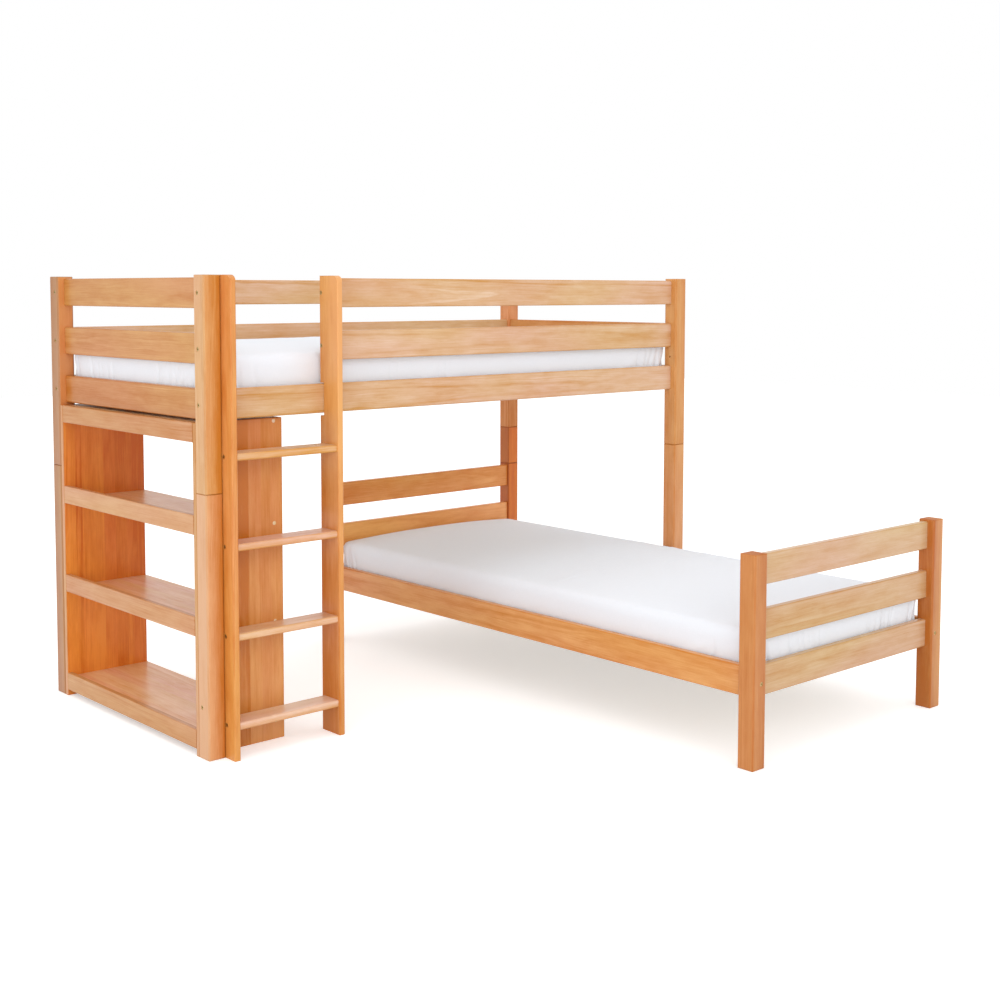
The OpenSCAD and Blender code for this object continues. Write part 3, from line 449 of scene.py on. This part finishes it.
# which batch of wood each board came from, which way its grain runs, and which way its face is wide
boards = {
    "post_front_left_leg": ("honey", "z", "y"), "post_front_left_upper": ("honey", "z", "y"),
    "post_back_left_leg": ("brown", "z", "y"), "post_back_left_upper": ("brown", "z", "y"),
    "post_front_right_leg": ("tan", "z", "y"), "post_front_right_upper": ("tan", "z", "y"),
    "post_back_right_spacer": ("rust", "z", "y"), "post_back_right_upper": ("amber", "z", "y"),
    "lower_head_post_right": ("rust", "z", "y"), "lower_head_post_left": ("amber", "z", "y"),
    "lower_foot_post_left": ("fox", "z", "y"), "lower_foot_post_right": ("fox", "z", "y"),
    "left_end_rail_top": ("caramel", "y", "z"), "left_end_rail_middle": ("caramel", "y", "z"),
    "left_end_rail_bottom": ("caramel", "y", "z"), "right_end_rail_top": ("tan", "y", "z"),
    "right_end_rail_middle": ("tan", "y", "z"), "right_end_rail_bottom": ("tan", "y", "z"),
    "back_rail_top": ("blush", "x", "z"), "back_rail_middle": ("blush", "x", "z"),
    "back_rail_bottom": ("blush", "x", "z"), "guard_rail_top": ("blush", "x", "z"),
    "guard_rail_middle": ("blush", "x", "z"), "front_side_rail": ("blush", "x", "z"),
    "ladder_stile_left": ("copper", "z", "y"), "ladder_stile_right": ("sienna", "z", "y"),
    "ladder_rung_1": ("rose", "x", "y"), "ladder_rung_2": ("rose", "x", "y"),
    "ladder_rung_3": ("rose", "x", "y"), "ladder_rung_4": ("rose", "x", "y"),
    "lower_side_rail_left": ("toffee", "y", "z"), "lower_side_rail_right": ("tan", "y", "z"),
    "lower_head_rail_top": ("gold", "x", "z"), "lower_head_rail_middle": ("gold", "x", "z"),
    "lower_head_rail_bottom": ("gold", "x", "z"), "lower_foot_rail_top": ("cream", "x", "z"),
    "lower_foot_rail_middle": ("cream", "x", "z"), "lower_foot_rail_bottom": ("cream", "x", "z"),
    "slat_ledges": ("birch", "x", "z"), "wood_dowels": ("birch", "x", "z"),
    "bookcase_screws": ("plug", "z", "x"),
}
# painted light and shade: how much deeper a board gets towards +X, +Y and +Z; and the board's own tone: how
# much deeper all over
shadeLeansAndShifts = {
    "post_front_left_leg": ((0.5, -0.06, 0.0), 0.02), "post_front_left_upper": ((0.4, -0.15, 0.0), 0.06),
    "post_back_left_leg": ((0.3, 0.3, 0.0), 0.07), "post_back_left_upper": ((0.2, 0.4, 0.0), -0.07),
    "ladder_stile_left": ((0.05, 0.2, 0.0), 0.0), "ladder_stile_right": ((-0.05, 0.4, -0.55), 0.0),
    "ladder_rung_1": ((0.0, 0.0, -0.3), 0.0), "ladder_rung_2": ((0.0, 0.0, -0.08), 0.0),
    "ladder_rung_3": ((0.0, -0.2, -0.24), 0.0), "ladder_rung_4": ((0.0, -0.3, -0.16), 0.0),
    "post_front_right_leg": ((0.0, 0.05, 0.0), 0.04), "post_front_right_upper": ((0.0, 0.0, -0.05), 0.0),
    "post_back_right_upper": ((0.0, 0.0, -0.3), 0.0), "lower_head_post_right": ((0.0, 0.0, 0.0), 0.05),
    "post_back_right_spacer": ((0.0, 0.0, 0.0), -0.2),
    "lower_foot_post_left": ((0.22, -0.02, 0.0), 0.0), "lower_foot_post_right": ((-0.42, 0.12, -0.1), 0.0),
    "left_end_rail_top": ((0.0, 0.16, 0.0), -0.07), "left_end_rail_middle": ((0.0, 0.16, 0.0), -0.06),
    "left_end_rail_bottom": ((0.0, 0.16, 0.0), 0.2), "front_side_rail": ((-0.12, 0.0, 0.0), 0.0),
    "lower_head_rail_top": ((0.0, 0.0, 0.0), 0.2), "lower_head_rail_middle": ((0.0, 0.0, 0.0), -0.3),
    "lower_foot_rail_top": ((0.0, 0.0, 0.0), -0.14), "lower_foot_rail_middle": ((-0.08, 0.0, 0.0), 0.07),
    "guard_rail_top": ((-0.05, 0.0, 0.0), 0.0), "guard_rail_middle": ((0.06, 0.0, 0.0), -0.03),
    "bookcase_side_back": ((0.0, 0.0, 0.22), 0.0), "bookcase_side_front": ((0.0, 0.0, 0.28), 0.0),
}
noShadeLean = ((0, 0, 0), 0.0)
squarePieces = ("post_", "lower_head_post", "lower_foot_post")
firstSeeds = {"boards": 3, "strips": 70}
for seed, (name, (tone, along, across)) in enumerate(boards.items(), firstSeeds["boards"]):
    shadeLean, shift = shadeLeansAndShifts.get(name, noShadeLean)
    dress(name, woodMaterial(name + "_wood", tone, along, across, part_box(name), seed,
                             square=name.startswith(squarePieces), shadeLean=shadeLean, shift=shift))


def gluedShelf(width, seed):
    return {"Width": width, "Uneven": 0.2, "Seed": seed, "tint": 0.1, "joint": 0.3}


def slatRow(seed):
    return {"Width": 0.1, "Uneven": 0.0, "Seed": seed, "tint": 0.07, "joint": 0.0}


# the bookcase's panels and shelves are glued up from narrow staves; the slats and lips are separate strips;
# a band is where a stave starts, in metres, and how much deeper its tone is
stripBoards = {
    "bookcase_side_front": ("panel", "z", "x", {"bands": (
        (0.0, 0.05), (0.042, -0.1), (0.09, 0.08), (0.138, 0.46),
        (0.176, -0.16), (0.221, -0.04), (0.254, -0.16), (0.288, -0.1))}),
    # painted shade: the back panel's bands grow deeper towards the back of the bookcase, besides marking its
    # staves
    "bookcase_side_back": ("russet", "z", "x", {"bands": (
        (0.0, -0.24), (0.04, 0.12), (0.064, -0.2), (0.143, 0.06),
        (0.186, 0.26), (0.227, 0.12), (0.25, 0.32), (0.276, 0.4))}),
    "bookcase_top": ("shelf", "y", "x", gluedShelf(0.046, 21.0)),
    "bookcase_shelf_upper": ("shelf", "y", "x", gluedShelf(0.045, 31.0)),
    "bookcase_shelf_lower": ("shelf", "y", "x", gluedShelf(0.043, 41.0)),
    "bookcase_shelf_bottom": ("shelf", "y", "x", gluedShelf(0.046, 51.0)),
    "bookcase_lips": ("fawn", "y", "z", {"bands": ((0.0, -0.03), (0.25, 0.03), (0.55, -0.19), (0.85, 0.18))}),
    "upper_slats": ("birch", "y", "x", slatRow(71.0)),
    "lower_slats": ("birch", "x", "y", slatRow(81.0)),
}
for seed, (name, (tone, along, across, staves)) in enumerate(stripBoards.items(), firstSeeds["strips"]):
    shadeLean, _ = shadeLeansAndShifts.get(name, noShadeLean)
    dress(name, woodMaterial(name + "_wood", tone, along, across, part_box(name), seed,
                             staves=staves, shadeLean=shadeLean))
print("wood finished:", len(boards) + len(stripBoards), "pieces")


metalValues = {
    "marks": 900.0, "tarnish": 130.0,  # noise turns per metre
    "tarnishShare": 0.6, "tarnishShade": 0.72,
    "bump": (0.15, 0.0001),
}


# plated steel with turning marks and a little tarnish
def metalMaterial(name, colour, roughness, scratch, values):
    material, tree, shader = newMaterial(name)
    place = addNode(tree, "ShaderNodeTexCoord").outputs["Object"]
    marks = noiseAt(tree, place, (values["marks"],) * 3, 3.0, 0.7)
    tarnish = noiseAt(tree, place, (values["tarnish"],) * 3)
    dull = linear(*(c * values["tarnishShade"] for c in colour))
    share = addMath(tree, "MULTIPLY", tarnish, values["tarnishShare"])
    tree.links.new(mixColours(tree, share, linear(*colour), dull), shader.inputs["Base Color"])
    tree.links.new(addMath(tree, "MULTIPLY_ADD", marks, scratch, roughness), shader.inputs["Roughness"])
    addBump(tree, shader, marks, *values["bump"])
    shader.inputs["Metallic"].default_value = 1
    return material


zincMaterial = metalMaterial("yellow_zinc", (208, 182, 126), 0.3, 0.18, metalValues)
steelMaterial = metalMaterial("bright_steel", (178, 178, 176), 0.26, 0.16, metalValues)
for name in ("bed_bolts", "ladder_bolts", "barrel_nuts"):
    dress(name, zincMaterial)
dress("post_pins", steelMaterial)

# each cloth's threads in radians per metre, slubs, two colours, bump strength and height, and finish;
# the quilting's seams are in radians per metre too
clothValues = {
    "slat_webbing": {"threads": 2600.0, "slubs": 0.5, "colours": ((196, 190, 178), (228, 224, 214)),
                     "bump": (0.5, 0.0004), "roughness": 0.85},
    "mattress_ticking": {"threads": 3600.0, "slubs": 0.4, "colours": ((220, 218, 212), (240, 239, 235)),
                         "bump": (0.8, 0.006), "roughness": 0.9, "sheen": 0.15,
                         "quilt": {"seams": 40.0, "puff": 0.35, "weave": 0.04}},
    "sheet_cotton": {"threads": 6000.0, "slubs": 0.6, "colours": ((226, 231, 238), (239, 243, 250)),
                     "bump": (0.3, 0.0003), "roughness": 0.88, "sheen": 0.12},
}


# the stitched diamonds of the ticking: two sets of slanting seams, with soft humps between them
def addQuilt(tree, place, weaveHeight, values):
    axes = splitVector(tree, place)
    rising = addMath(tree, "ADD", axes["X"], axes["Y"])
    falling = addMath(tree, "SUBTRACT", axes["X"], axes["Y"])
    plus = addMath(tree, "SINE", addMath(tree, "MULTIPLY", rising, values["seams"]))
    minus = addMath(tree, "SINE", addMath(tree, "MULTIPLY", falling, values["seams"]))
    humps = addMath(tree, "MULTIPLY", addMath(tree, "ABSOLUTE", plus), addMath(tree, "ABSOLUTE", minus))
    humps = addMath(tree, "POWER", humps, values["puff"])
    return addMath(tree, "MULTIPLY_ADD", weaveHeight, values["weave"], humps)


# woven tape, quilted ticking or cotton sheeting; shadeBy is the weave's output that picks between the colours
def clothMaterial(name, shadeBy, layout=None):
    values = clothValues[name]
    material, tree, shader = newMaterial(name)
    if layout:
        place = addNode(tree, "ShaderNodeUVMap", uv_map=layout).outputs[0]
    else:
        place = addNode(tree, "ShaderNodeTexCoord").outputs["Object"]
    weave = addNode(tree, "ShaderNodeGroup", {"Vector": place},
                    {"Threads": values["threads"], "Slubs": values["slubs"]}, node_tree=weaveGroup)
    dark, light = values["colours"]
    colour = mixColours(tree, weave.outputs[shadeBy], linear(*dark), linear(*light))
    tree.links.new(colour, shader.inputs["Base Color"])
    height = weave.outputs["Height"]
    if "quilt" in values:
        height = addQuilt(tree, place, height, values["quilt"])
    addBump(tree, shader, height, *values["bump"])
    shader.inputs["Roughness"].default_value = values["roughness"]
    shader.inputs["Sheen Weight"].default_value = values.get("sheen", 0.0)
    return material


webbing = clothMaterial("slat_webbing", "Height")
dress("upper_slat_tapes", webbing)
dress("lower_slat_tapes", webbing)
print("metal and webbing finished")


# the beds' soft pieces are shaped flat on the origin, and put in their beds at the end
mattressValues = {
    "length": 1.996, "width": 0.888,   # as the solids, seam to seam
    "edgeHeight": 0.147,               # height where the top meets the border
    "crown": 0.0225,                   # rise from there to the middle
    "inset": (0.013, 0.0135),          # how far the ticking stands inside the outer size, ends and sides
    "roundness": (0.018, 0.018, 0.036),   # radii of its corners along x, y and z
    "crownPower": {"across": 2.6, "along": 30},
    "shoulder": {"drop": 0.004, "reach": 0.06},   # how the top falls away beside its edge
    "waist": 0.0015,                   # how far the border draws in between its seams
    "border": 0.012,                   # what lies this near a side belongs to the border
    "underside": 0.0015,               # the ticking stands this far above the slats
    "spacing": 0.026,                  # side of a mesh square
}
sheetValues = {
    "inset": (-0.0048, 0.0018),        # the ends press out against the end rails
    "lift": 0.001,                     # how far the cloth lies off the ticking on top
    "underside": 0.0005,
    "hem": 0.07,                       # how far the cloth goes on under the mattress
    "spacing": 0.0105,
    "flat": (2.476, 1.368),            # the cut, before its corners are sewn
    "cornerCut": 0.24,
}
# how the cloth settles: lengths in metres, the stiffnesses in the cloth modifier's own units
settleValues = {
    "frames": 22,
    "slack": 0.012,                    # spare length in the cloth, as a share
    "outward": 0.0012, "upward": 0.007, "downward": 0.002,   # how far a point may leave its first place
    "uneven": {"height": 0.0012, "scale": 22, "above": 0.01, "place": (3.7, 1.9, 0.4)},
    "heldBelow": 0.002,                # the hem under the mattress is held
    "quality": 6, "mass": 0.2, "gravity": 0.4,
    "stretch": 30, "squeeze": 12, "shear": 8, "bend": 0.12,
    "clearance": 0.0008, "core": 0.0006,   # how far cloth and mattress keep apart
}
# the creases that the elastic draws beside each corner, and the sheet's old folds
creaseValues = {
    "ends": {"count": 15, "reach": 0.32, "cut": 0.36},   # cut: how far from the corner the mesh gets finer
    "sides": {"count": 7, "reach": 0.14, "cut": 0.2},
    "start": 0.028, "gather": 1.5,     # the first one's distance from the corner, and how they crowd there
    "slant": (0.1, 0.55), "slantFade": 0.25,
    "width": (0.005, 0.0095), "top": (0.7, 1.3), "depth": (0.003, 0.0095), "depthFade": 0.3,
    "foot": {"share": 0.55, "height": 0.03},   # a crease is shallower in its lowest part
    "spread": 2.6,                     # beyond this many widths a crease is flat
    "wall": 0.014,                     # what lies this near a side belongs to its wall
    "level": 0.003,                    # edges that rise less than this are cut finer
    "lowest": {"edge": 0.0015, "point": 0.001},   # below these the hem is left as it is
    "mark": {"slant": 0.0, "width": 0.004, "top": 1.1, "depth": 0.0012}, "markCut": 0.02,
}


# a block of even quads with its edges drawn round, from 0 to size
def roundedBlock(size, spacing, roundness):
    shape = bmesh.new()
    bmesh.ops.create_cube(shape, size=1)
    bmesh.ops.scale(shape, vec=size, verts=shape.verts)
    bmesh.ops.translate(shape, vec=Vector(size) / 2, verts=shape.verts)
    for axis in range(3):
        cuts = max(1, round(size[axis] / spacing)) - 1
        runs = [e for e in shape.edges if abs(e.verts[0].co[axis] - e.verts[1].co[axis]) > size[axis] * 0.5]
        bmesh.ops.subdivide_edges(shape, edges=runs, cuts=cuts, use_grid_fill=True)
    for vert in shape.verts:
        core = Vector([min(max(c, r), s - r) for c, r, s in zip(vert.co, roundness, size)])
        reach = Vector([(c - k) / r for c, k, r in zip(vert.co, core, roundness)])
        if reach.length > 1e-6:
            reach.normalize()
            vert.co = core + Vector([a * r for a, r in zip(reach, roundness)])
    return shape


# the crown of the top, the softer shoulder along its edge, and the border's waist
def padShape(shape, size, values):
    power, shoulder, border = values["crownPower"], values["shoulder"], values["border"]
    for vert in shape.verts:
        x, y, z = vert.co
        height = min(1.0, max(0.0, z / size[2]))
        across = 1 - abs(2 * y / size[1] - 1) ** power["across"]
        along = 1 - abs(2 * x / size[0] - 1) ** power["along"]
        edge = min(x, size[0] - x, y, size[1] - y)
        drop = shoulder["drop"] * max(0.0, 1 - edge / shoulder["reach"]) ** 2
        vert.co.z += height ** 2 * (values["crown"] * max(0.0, across * along) - drop)
        draw = values["waist"] * math.sin(math.pi * height)
        if x < border or x > size[0] - border:
            vert.co.x += draw if x < size[0] / 2 else -draw
        if y < border or y > size[1] - border:
            vert.co.y += draw if y < size[1] / 2 else -draw


# the cloth's own layout in metres: the top as it lies, the sides folded out
def layOut(shape, size):
    upright = 0.7      # a face that looks this far sideways is a side
    layer = shape.loops.layers.uv.new("layout")
    for face in shape.faces:
        normal = face.normal
        for loop in face.loops:
            x, y, z = loop.vert.co
            drop = max(0.0, size[2] - z)
            if abs(normal.y) > upright:
                y += math.copysign(drop, normal.y)
            elif abs(normal.x) > upright:
                x += math.copysign(drop, normal.x)
            loop[layer].uv = (x, y)


def toObject(shape, name):
    mesh = bpy.data.meshes.new(name)
    bmesh.ops.recalc_face_normals(shape, faces=shape.faces)
    shape.to_mesh(mesh)
    shape.free()
    piece = bpy.data.objects.new(name, mesh)
    bpy.context.scene.collection.objects.link(piece)
    for polygon in mesh.polygons:
        polygon.use_smooth = True
    return piece


# cuts the middle out of the underside, and leaves a hem of cloth all round
def openUnderside(shape, size, hem):
    downward = -0.8      # how far down a face has to look
    under = []
    for face in shape.faces:
        x, y, _ = face.calc_center_median()
        if face.normal.z < downward and hem < x < size[0] - hem and hem < y < size[1] - hem:
            under.append(face)
    bmesh.ops.delete(shape, geom=under, context="FACES")


# the mattress's outer form, or the cloth around it: values are the piece's own, pad is the mattress's
def makePad(name, values, pad):
    ends, sides = values["inset"]
    top = pad["edgeHeight"] + values.get("lift", 0.0)
    size = (pad["length"] - 2 * ends, pad["width"] - 2 * sides, top - values["underside"])
    shape = roundedBlock(size, values["spacing"], pad["roundness"])
    shape.normal_update()
    if "hem" in values:
        openUnderside(shape, size, values["hem"])
    layOut(shape, size)
    padShape(shape, size, pad)
    bmesh.ops.translate(shape, vec=(ends, sides, values["underside"]), verts=shape.verts)
    return toObject(shape, name)


# lets the slack cloth settle on its mattress; each point keeps near where it started
def settleSheet(sheet, mattress, values):
    start = [v.co.copy() for v in sheet.data.vertices]
    held = sheet.vertex_groups.new(name="hem")
    held.add([v.index for v in sheet.data.vertices if v.co.z < values["heldBelow"]], 1.0, "REPLACE")
    uneven = values["uneven"]
    chance = Vector(uneven["place"])
    for vert in sheet.data.vertices:      # a first unevenness, so the slack has somewhere to go
        if vert.co.z > uneven["above"]:
            rise = max(0.0, noise.noise(vert.co * uneven["scale"] + chance))
            vert.co += vert.normal * uneven["height"] * rise
    core = mattress.modifiers.new("core", "COLLISION")
    mattress.collision.thickness_outer = values["core"]
    cloth = sheet.modifiers.new("settle", "CLOTH")
    cloth.point_cache.frame_start, cloth.point_cache.frame_end = 1, values["frames"]
    cloth.settings.quality = values["quality"]
    cloth.settings.mass = values["mass"]
    cloth.settings.tension_stiffness = values["stretch"]
    cloth.settings.compression_stiffness = values["squeeze"]
    cloth.settings.shear_stiffness = values["shear"]
    cloth.settings.bending_stiffness = values["bend"]
    cloth.settings.vertex_group_mass = "hem"
    cloth.settings.shrink_min = -values["slack"]
    cloth.settings.effector_weights.gravity = values["gravity"]
    cloth.collision_settings.distance_min = values["clearance"]
    cloth.collision_settings.use_self_collision = False
    scene = bpy.context.scene
    for number in range(1, values["frames"] + 1):
        scene.frame_set(number)
    settled = sheet.evaluated_get(bpy.context.evaluated_depsgraph_get()).data
    moved = [v.co.copy() for v in settled.vertices]
    sheet.modifiers.remove(cloth)
    mattress.modifiers.remove(core)
    scene.frame_set(1)
    for vert, first, last in zip(sheet.data.vertices, start, moved):
        step = last - first
        step.x = max(-values["outward"], min(values["outward"], step.x))
        step.y = max(-values["outward"], min(values["outward"], step.y))
        step.z = max(-values["downward"], min(values["upward"], step.z))
        vert.co = first + step


# the creases of each wall, fanned out beside both of its corners
def drawCreases(values, length, width, seed, marks):
    chance = random.Random(seed)
    creases = {"front": [], "back": [], "head": [], "foot": []}
    for wall in creases:
        span = length if wall in ("front", "back") else width
        amounts = values["sides"] if wall in ("front", "back") else values["ends"]
        for side in (1, -1):
            for _ in range(amounts["count"]):
                away = values["start"] + amounts["reach"] * chance.random() ** values["gather"]
                creases[wall].append({
                    "place": away if side == 1 else span - away,
                    "slant": -side * chance.uniform(*values["slant"]) * math.exp(-away / values["slantFade"]),
                    "width": chance.uniform(*values["width"]), "top": chance.uniform(*values["top"]),
                    "depth": chance.uniform(*values["depth"]) * math.exp(-away / values["depthFade"])})
    creases["front"] += [{"place": mark, **values["mark"]} for mark in marks]
    return creases


# presses the creases into the border, on a mesh that is made finer where they run
def creaseSheet(sheet, values, pad, seed, marks):
    length, width, height = pad["length"], pad["width"], pad["edgeHeight"]
    creases = drawCreases(values, length, width, seed, marks)
    foot, deepest = values["foot"], values["depth"][1]

    def wallAt(point):      # which wall a point is on, and how far along it
        if min(point.y, width - point.y) < values["wall"]:
            return ("front" if point.y < width / 2 else "back"), point.x, length
        if min(point.x, length - point.x) < values["wall"]:
            return ("head" if point.x < length / 2 else "foot"), point.y, width
        return None, 0.0, 0.0

    def depthAt(wall, along, up):
        depth = 0.0
        low = foot["share"] + (1 - foot["share"]) * min(1.0, up / foot["height"])
        for crease in creases[wall]:
            off = (along - crease["place"] - crease["slant"] * up) / crease["width"]
            if abs(off) < values["spread"]:
                share = min(1.0, up / height / crease["top"])
                depth += crease["depth"] * math.exp(-off * off) * (1 - share ** 2) * low
        return min(depth, deepest)

    shape = bmesh.new()
    shape.from_mesh(sheet.data)
    runs = []
    for edge in shape.edges:
        first, last = edge.verts[0].co, edge.verts[1].co
        wall, along, span = wallAt((first + last) / 2)
        if wall and abs(first.z - last.z) < values["level"] and first.z > values["lowest"]["edge"]:
            cut = values["sides" if wall in ("front", "back") else "ends"]["cut"]
            marked = wall == "front" and any(abs(along - mark) < values["markCut"] for mark in marks)
            if min(along, span - along) < cut or marked:
                runs.append(edge)
    bmesh.ops.subdivide_edges(shape, edges=runs, cuts=2)
    shape.normal_update()
    shifts = []
    for vert in shape.verts:
        wall, along, _ = wallAt(vert.co)
        if wall and vert.co.z >= values["lowest"]["point"]:
            shifts.append((vert, vert.normal * -depthAt(wall, along, vert.co.z)))
    for vert, step in shifts:
        vert.co += step
    shape.to_mesh(sheet.data)
    shape.free()
    for polygon in sheet.data.polygons:
        polygon.use_smooth = True


ticking = clothMaterial("mattress_ticking", "Shade", layout="layout")
cotton = clothMaterial("sheet_cotton", "Shade", layout="layout")
# where each bed's local corner goes, and the turn about Z from the mattress's own length
beds = {
    "upper": {"corner": (-0.998, 0.111, 1.0343), "turn": 0, "body": "upper_bedding",
              "seed": 3, "marks": (0.663, 0.695, 0.868, 0.899)},
    "lower": {"corner": (0.107, 0.998, 0.2433), "turn": -90, "body": "lower_bedding",
              "seed": 8, "marks": ()},
}
mattressModel = makePad("mattress_model", mattressValues, mattressValues)
sheetModel = makePad("sheet_model", sheetValues, mattressValues)
settleSheet(sheetModel, mattressModel, settleValues)
print("sheet settled")
for bedName, bed in beds.items():
    place = Matrix.Translation(bed["corner"]) @ Matrix.Rotation(math.radians(bed["turn"]), 4, "Z")
    mattress = bpy.data.objects.new(bedName + "_mattress_foam", mattressModel.data.copy())
    sheet = bpy.data.objects.new(bedName + "_cotton_sheet", sheetModel.data.copy())
    creaseSheet(sheet, creaseValues, mattressValues, bed["seed"], bed["marks"])
    for piece in (mattress, sheet):
        bpy.context.scene.collection.objects.link(piece)
        piece.data.transform(place)
        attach(piece, bed["body"])
    mattress.data.materials.append(ticking)
    sheet.data.materials.append(cotton)
    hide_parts(bedName + "_mattress")
    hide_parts(bedName + "_fitted_sheet")
bpy.data.objects.remove(mattressModel)
bpy.data.objects.remove(sheetModel)
print("bedding made")


studioValues = {
    "floorColour": 0.86,      # what the floor gives back to the wood
    "floorWhite": 0.42,       # its own white behind the object
    "floorSize": 14,          # half of its side
    "worldStrength": 0.97,
    "lamps": {
        "leftWindow": {"place": (-8.6, -2.2, 2.2), "aim": (-0.2, 0, 0.7), "size": (5, 4.5), "power": 105},
        "frontSoftbox": {"place": (-2.5, -8.5, 5.5), "aim": (0, 0, 0.6), "size": (6, 4), "power": 130},
        "cameraFill": {"place": (-5.4, -6, 1.5), "aim": (0, 0, 0.6), "size": (3, 2.4), "power": 60},
        "topPanel": {"place": (-0.5, 0, 6), "aim": (0, 0, 0.6), "size": (5, 5), "power": 40},
    },
}


def seenFactor(tree):
    path = addNode(tree, "ShaderNodeLightPath").outputs
    seen = addMath(tree, "MAXIMUM", path["Is Camera Ray"], path["Is Glossy Ray"])
    return addMath(tree, "MAXIMUM", seen, path["Is Transmission Ray"])


def makeStudio(values):
    floorShape = bmesh.new()
    bmesh.ops.create_grid(floorShape, x_segments=1, y_segments=1, size=values["floorSize"])
    floor = toObject(floorShape, "studio_floor")
    material = bpy.data.materials.new("studio_floor")
    material.use_nodes = True
    tree = material.node_tree
    tree.nodes.clear()
    plain = addNode(tree, "ShaderNodeBsdfDiffuse", inputs={"Color": (values["floorColour"],) * 3 + (1,)})
    seen = addMath(tree, "MULTIPLY", seenFactor(tree), values["floorWhite"])
    glow = addNode(tree, "ShaderNodeEmission", {"Strength": seen}, {"Color": (1, 1, 1, 1)})
    both = addNode(tree, "ShaderNodeAddShader", {0: plain.outputs[0], 1: glow.outputs[0]})
    addNode(tree, "ShaderNodeOutputMaterial", {"Surface": both.outputs[0]})
    floor.data.materials.append(material)

    world = bpy.data.worlds.new("studioWorld")
    bpy.context.scene.world = world
    world.use_nodes = True
    tree = world.node_tree
    tree.nodes.clear()
    strength = addNode(tree, "ShaderNodeMix", {"Factor": seenFactor(tree)},
                       {2: values["worldStrength"], 3: 1.0}, data_type="FLOAT")
    sky = addNode(tree, "ShaderNodeBackground", {"Strength": strength.outputs[0]}, {"Color": (1, 1, 1, 1)})
    addNode(tree, "ShaderNodeOutputWorld", {"Surface": sky.outputs[0]})

    for name, lamp in values["lamps"].items():
        data = bpy.data.lights.new(name, "AREA")
        data.shape = "RECTANGLE"
        data.size, data.size_y = lamp["size"]
        data.energy = lamp["power"]
        light = bpy.data.objects.new(name, data)
        light.location = lamp["place"]
        ahead = Vector(lamp["aim"]) - Vector(lamp["place"])
        light.rotation_euler = ahead.to_track_quat("-Z", "Y").to_euler()
        bpy.context.scene.collection.objects.link(light)
    bpy.context.scene.view_settings.view_transform = "Standard"


makeStudio(studioValues)
print("studio lit")

print("scene ready")
